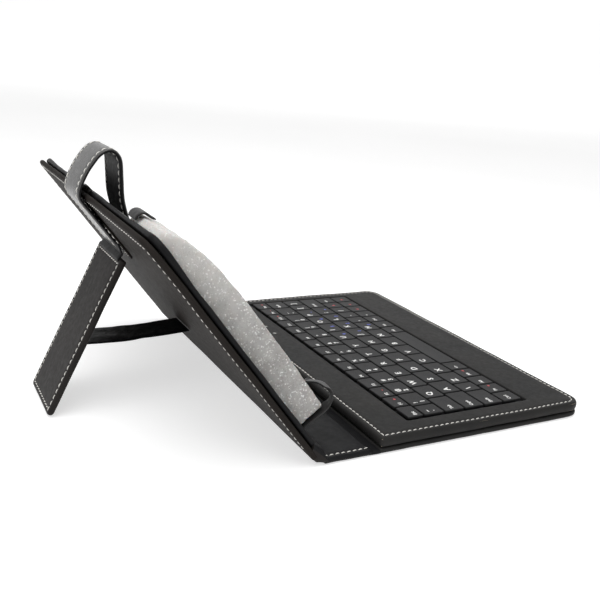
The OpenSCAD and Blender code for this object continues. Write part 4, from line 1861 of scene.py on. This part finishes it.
@dataclass
class Kickstand:
    """The leg behind the cover, its soft hinge flap, and the ribbon that keeps it from spreading."""

    finishes: Finishes
    width: float = 40.0
    root: float = 1.5
    stitching: Stitching = field(default_factory=lambda: Stitching(pitch=3.05, length=2.4))
    ribbon_w: float = 20.0
    ribbon_up: float = 42.0
    ribbon_down: float = 47.0
    ribbon_t: float = 0.8
    ribbon_sag: float = 1.0

    def build(self) -> None:
        """Builds the leg, its flap and the ribbon."""
        self.leg()
        self.flap()
        self.ribbon()
        dress_node(["leg_board"], self.finishes.greyboard)

    def leg_shape(self, p: Vector) -> Vector:
        """Gives the leg's worn shape: soft sides and a slightly bowed face."""
        side = smooth(abs(p.x), self.width / 2 - 6, self.width / 2)
        return p + Vector((0.3 * side * wave(p, 13, 2.4), 0, 0.12 * wave(p, 17, 6.3)))

    def leg(self) -> None:
        """Builds the leg with a seam round each face."""
        half, t = self.width / 2, LEG_THICK / 2
        edge = Outline(-half, half, self.root, LEG_LENGTH, 1.0, 2.5, 14, 30, 4)
        seamed = (Face.HIGH, Face.LOW)
        panel = SoftPanel(edge, -t, t, seamed, seam_inset=2.6, seam_dip=0.22, flat_inset=6.0)
        piece = make_piece("kickstand_leg", panel.draft(self.leg_shape), [self.finishes.leg], LEG)
        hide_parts("leg_skin", "leg_lining")
        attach(piece, "leg")
        row = Draft()
        for up in (1, -1):
            loop = edge.loop(panel.seam_inset, up * (t - 0.2))
            self.stitching.sew(row, [(self.leg_shape(p), Vector((0, 0, up))) for p in loop], closed=True)
        stitches = make_piece("kickstand_stitches", row, [self.finishes.thread], LEG, STITCH_SHARP)
        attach(stitches, "leg")

    def flap(self) -> None:
        """Builds the soft hinge flap that comes out from under the patch and wraps over the leg's head."""
        points = [on_cover(0, up, off) for up, off in ((103.0, -1.2), (100.5, -1.7), (98.6, -2.4))]
        wrap = ((-0.6, 1.0), (1.4, 1.4), (2.4, 1.5), (3.3, 1.4))
        points += [LEG @ Vector((0, down, out)) for down, out in wrap]
        path = resampled(curved(points), 0.6)
        band = Band(path, self.width - 7.0, 0.9, crown=0.1, columns=12)

        def pucker(p: Vector) -> Vector:
            """Puckers the flap."""
            return p + Vector((0.25 * wave(p, 5, 1.9), 0.2 * wave(p, 7, 4.7), 0.2 * wave(p, 6, 8.2)))

        piece = make_piece("leg_hinge_flap", band.draft(shape=pucker), [self.finishes.lining])
        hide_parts("leg_hinge_roll")
        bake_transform(piece)

    def ribbon(self) -> None:
        """Builds the ribbon stay, slack by a little, with soft ripples."""
        clear = 0.45
        start = on_cover(0, self.ribbon_up, -clear)
        end = LEG @ Vector((0, self.ribbon_down, -LEG_THICK / 2 - clear))
        points = []
        for t in (i / 28 for i in range(29)):
            points.append(start.lerp(end, t) - Vector((0, 0, self.ribbon_sag * math.sin(math.pi * t))))
        band = Band(points, self.ribbon_w, self.ribbon_t, crown=0.0, end_round=False, columns=10)

        def ripple(p: Vector) -> Vector:
            """Ripples the ribbon between its sewn ends."""
            t = (p.y - start.y) / (end.y - start.y)
            free = math.sin(math.pi * min(max(t, 0), 1))
            return p + Vector((0.5 * free * wave(p, 9, 2.1), 0, free * 0.45 * wave(p, 8, 5.9)))

        piece = make_piece("ribbon_stay_band", band.draft(shape=ripple), [self.finishes.ribbon])
        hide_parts("ribbon_stay")
        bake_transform(piece)


# ---- Studio ------------------------------------------------------------------


@dataclass
class Studio:
    """A pale table, four soft lamps and the camera. The camera's place is in millimetres."""

    finishes: Finishes
    camera_at: Vector = field(default_factory=lambda: Vector((-357.3, 253.2, 166.6)))
    ahead: Vector = field(default_factory=lambda: Vector((0.8351, -0.4649, -0.2942)))
    up: Vector = field(default_factory=lambda: Vector((0.296, -0.0711, 0.9525)))
    lens_mm: float = 46.82
    sensor_mm: float = 36.0
    table_drop: float = 0.25
    air_strength: float = 0.35

    def build(self) -> None:
        """Sets up the camera, the table, the lamps and the air."""
        self.camera()
        self.table()
        self.lamp("key_softbox", Vector((-150, 260, 900)), Vector((0, 60, 0)), 900, 8.0)
        self.lamp("back_softbox", Vector((-420, 780, 420)), Vector((0, 110, 60)), 700, 1.6)
        self.lamp("fill_softbox", Vector((-800, -260, 500)), Vector((0, 40, 40)), 800, 1.6)
        ahead = Vector((self.ahead.x, self.ahead.y, 0)).normalized()
        wash_from, wash_to = ahead * 3400 + Vector((0, 0, 2400)), ahead * 5600 + Vector((0, 0, 700))
        self.lamp("backdrop_softbox", wash_from, wash_to, 2400, 30.0)
        world = bpy.data.worlds.new("studio_air")
        world.use_nodes = True
        air = world.node_tree.nodes["Background"]
        air.inputs["Color"].default_value = linear_colour("#ffffff")
        air.inputs["Strength"].default_value = self.air_strength
        bpy.context.scene.world = world
        bpy.context.scene.view_settings.view_transform = "Standard"

    def camera(self) -> None:
        """Places the camera."""
        data = bpy.data.cameras.new("camera")
        data.lens, data.sensor_width, data.sensor_fit = self.lens_mm, self.sensor_mm, "HORIZONTAL"
        data.clip_start, data.clip_end = 0.01, 30.0
        camera = bpy.data.objects.new("camera", data)
        ahead = self.ahead.normalized()
        right = ahead.cross(self.up).normalized()
        top = right.cross(ahead)
        turn = Matrix((right, top, -ahead)).transposed().to_4x4()
        camera.matrix_world = Matrix.Translation(self.camera_at * MM) @ turn
        bpy.context.scene.collection.objects.link(camera)
        bpy.context.scene.camera = camera

    def table(self) -> None:
        """Builds the table, which sweeps up into a backdrop far behind."""
        sweep, behind = 1500.0, 4200.0
        profile = [(-6000.0, 0.0), (2500.0, 0.0), (behind, 0.0)]
        for angle in (math.radians(step) for step in range(6, 91, 6)):
            profile.append((behind + sweep * math.sin(angle), sweep - sweep * math.cos(angle)))
        profile.append((behind + sweep, 6000.0))
        made = Draft()
        made.patch([
            [Vector((along, side, height - self.table_drop)) for side in (-9000.0, 0.0, 9000.0)]
            for along, height in profile
        ])
        turn = Matrix.Rotation(math.atan2(self.ahead.y, self.ahead.x), 4, "Z")
        table = make_piece("studio_table", made, [self.finishes.studio], turn)

    @staticmethod
    def lamp(name: str, at: Vector, target: Vector, size_mm: float, watts: float) -> None:
        """Adds one soft lamp.

        Args:
            name: Name of the lamp.
            at: Its place in millimetres.
            target: The point that it faces.
            size_mm: Side of its square face.
            watts: Its power.
        """
        data = bpy.data.lights.new(name, "AREA")
        data.size, data.energy = size_mm * MM, watts
        lamp = bpy.data.objects.new(name, data)
        turn = (target - at).to_track_quat("-Z", "Y").to_matrix().to_4x4()
        lamp.matrix_world = Matrix.Translation(at * MM) @ turn
        bpy.context.scene.collection.objects.link(lamp)


def main() -> None:
    """Builds the case from the table up."""
    logging.basicConfig(level=logging.INFO, format="%(message)s")
    finishes = Finishes()
    Studio(finishes).build()
    KeyboardPanel(finishes).build()
    Spine(finishes).build()
    BackCover(finishes).build()
    Strap(finishes).build()
    Kickstand(finishes).build()


if __name__ == "__main__":
    main()
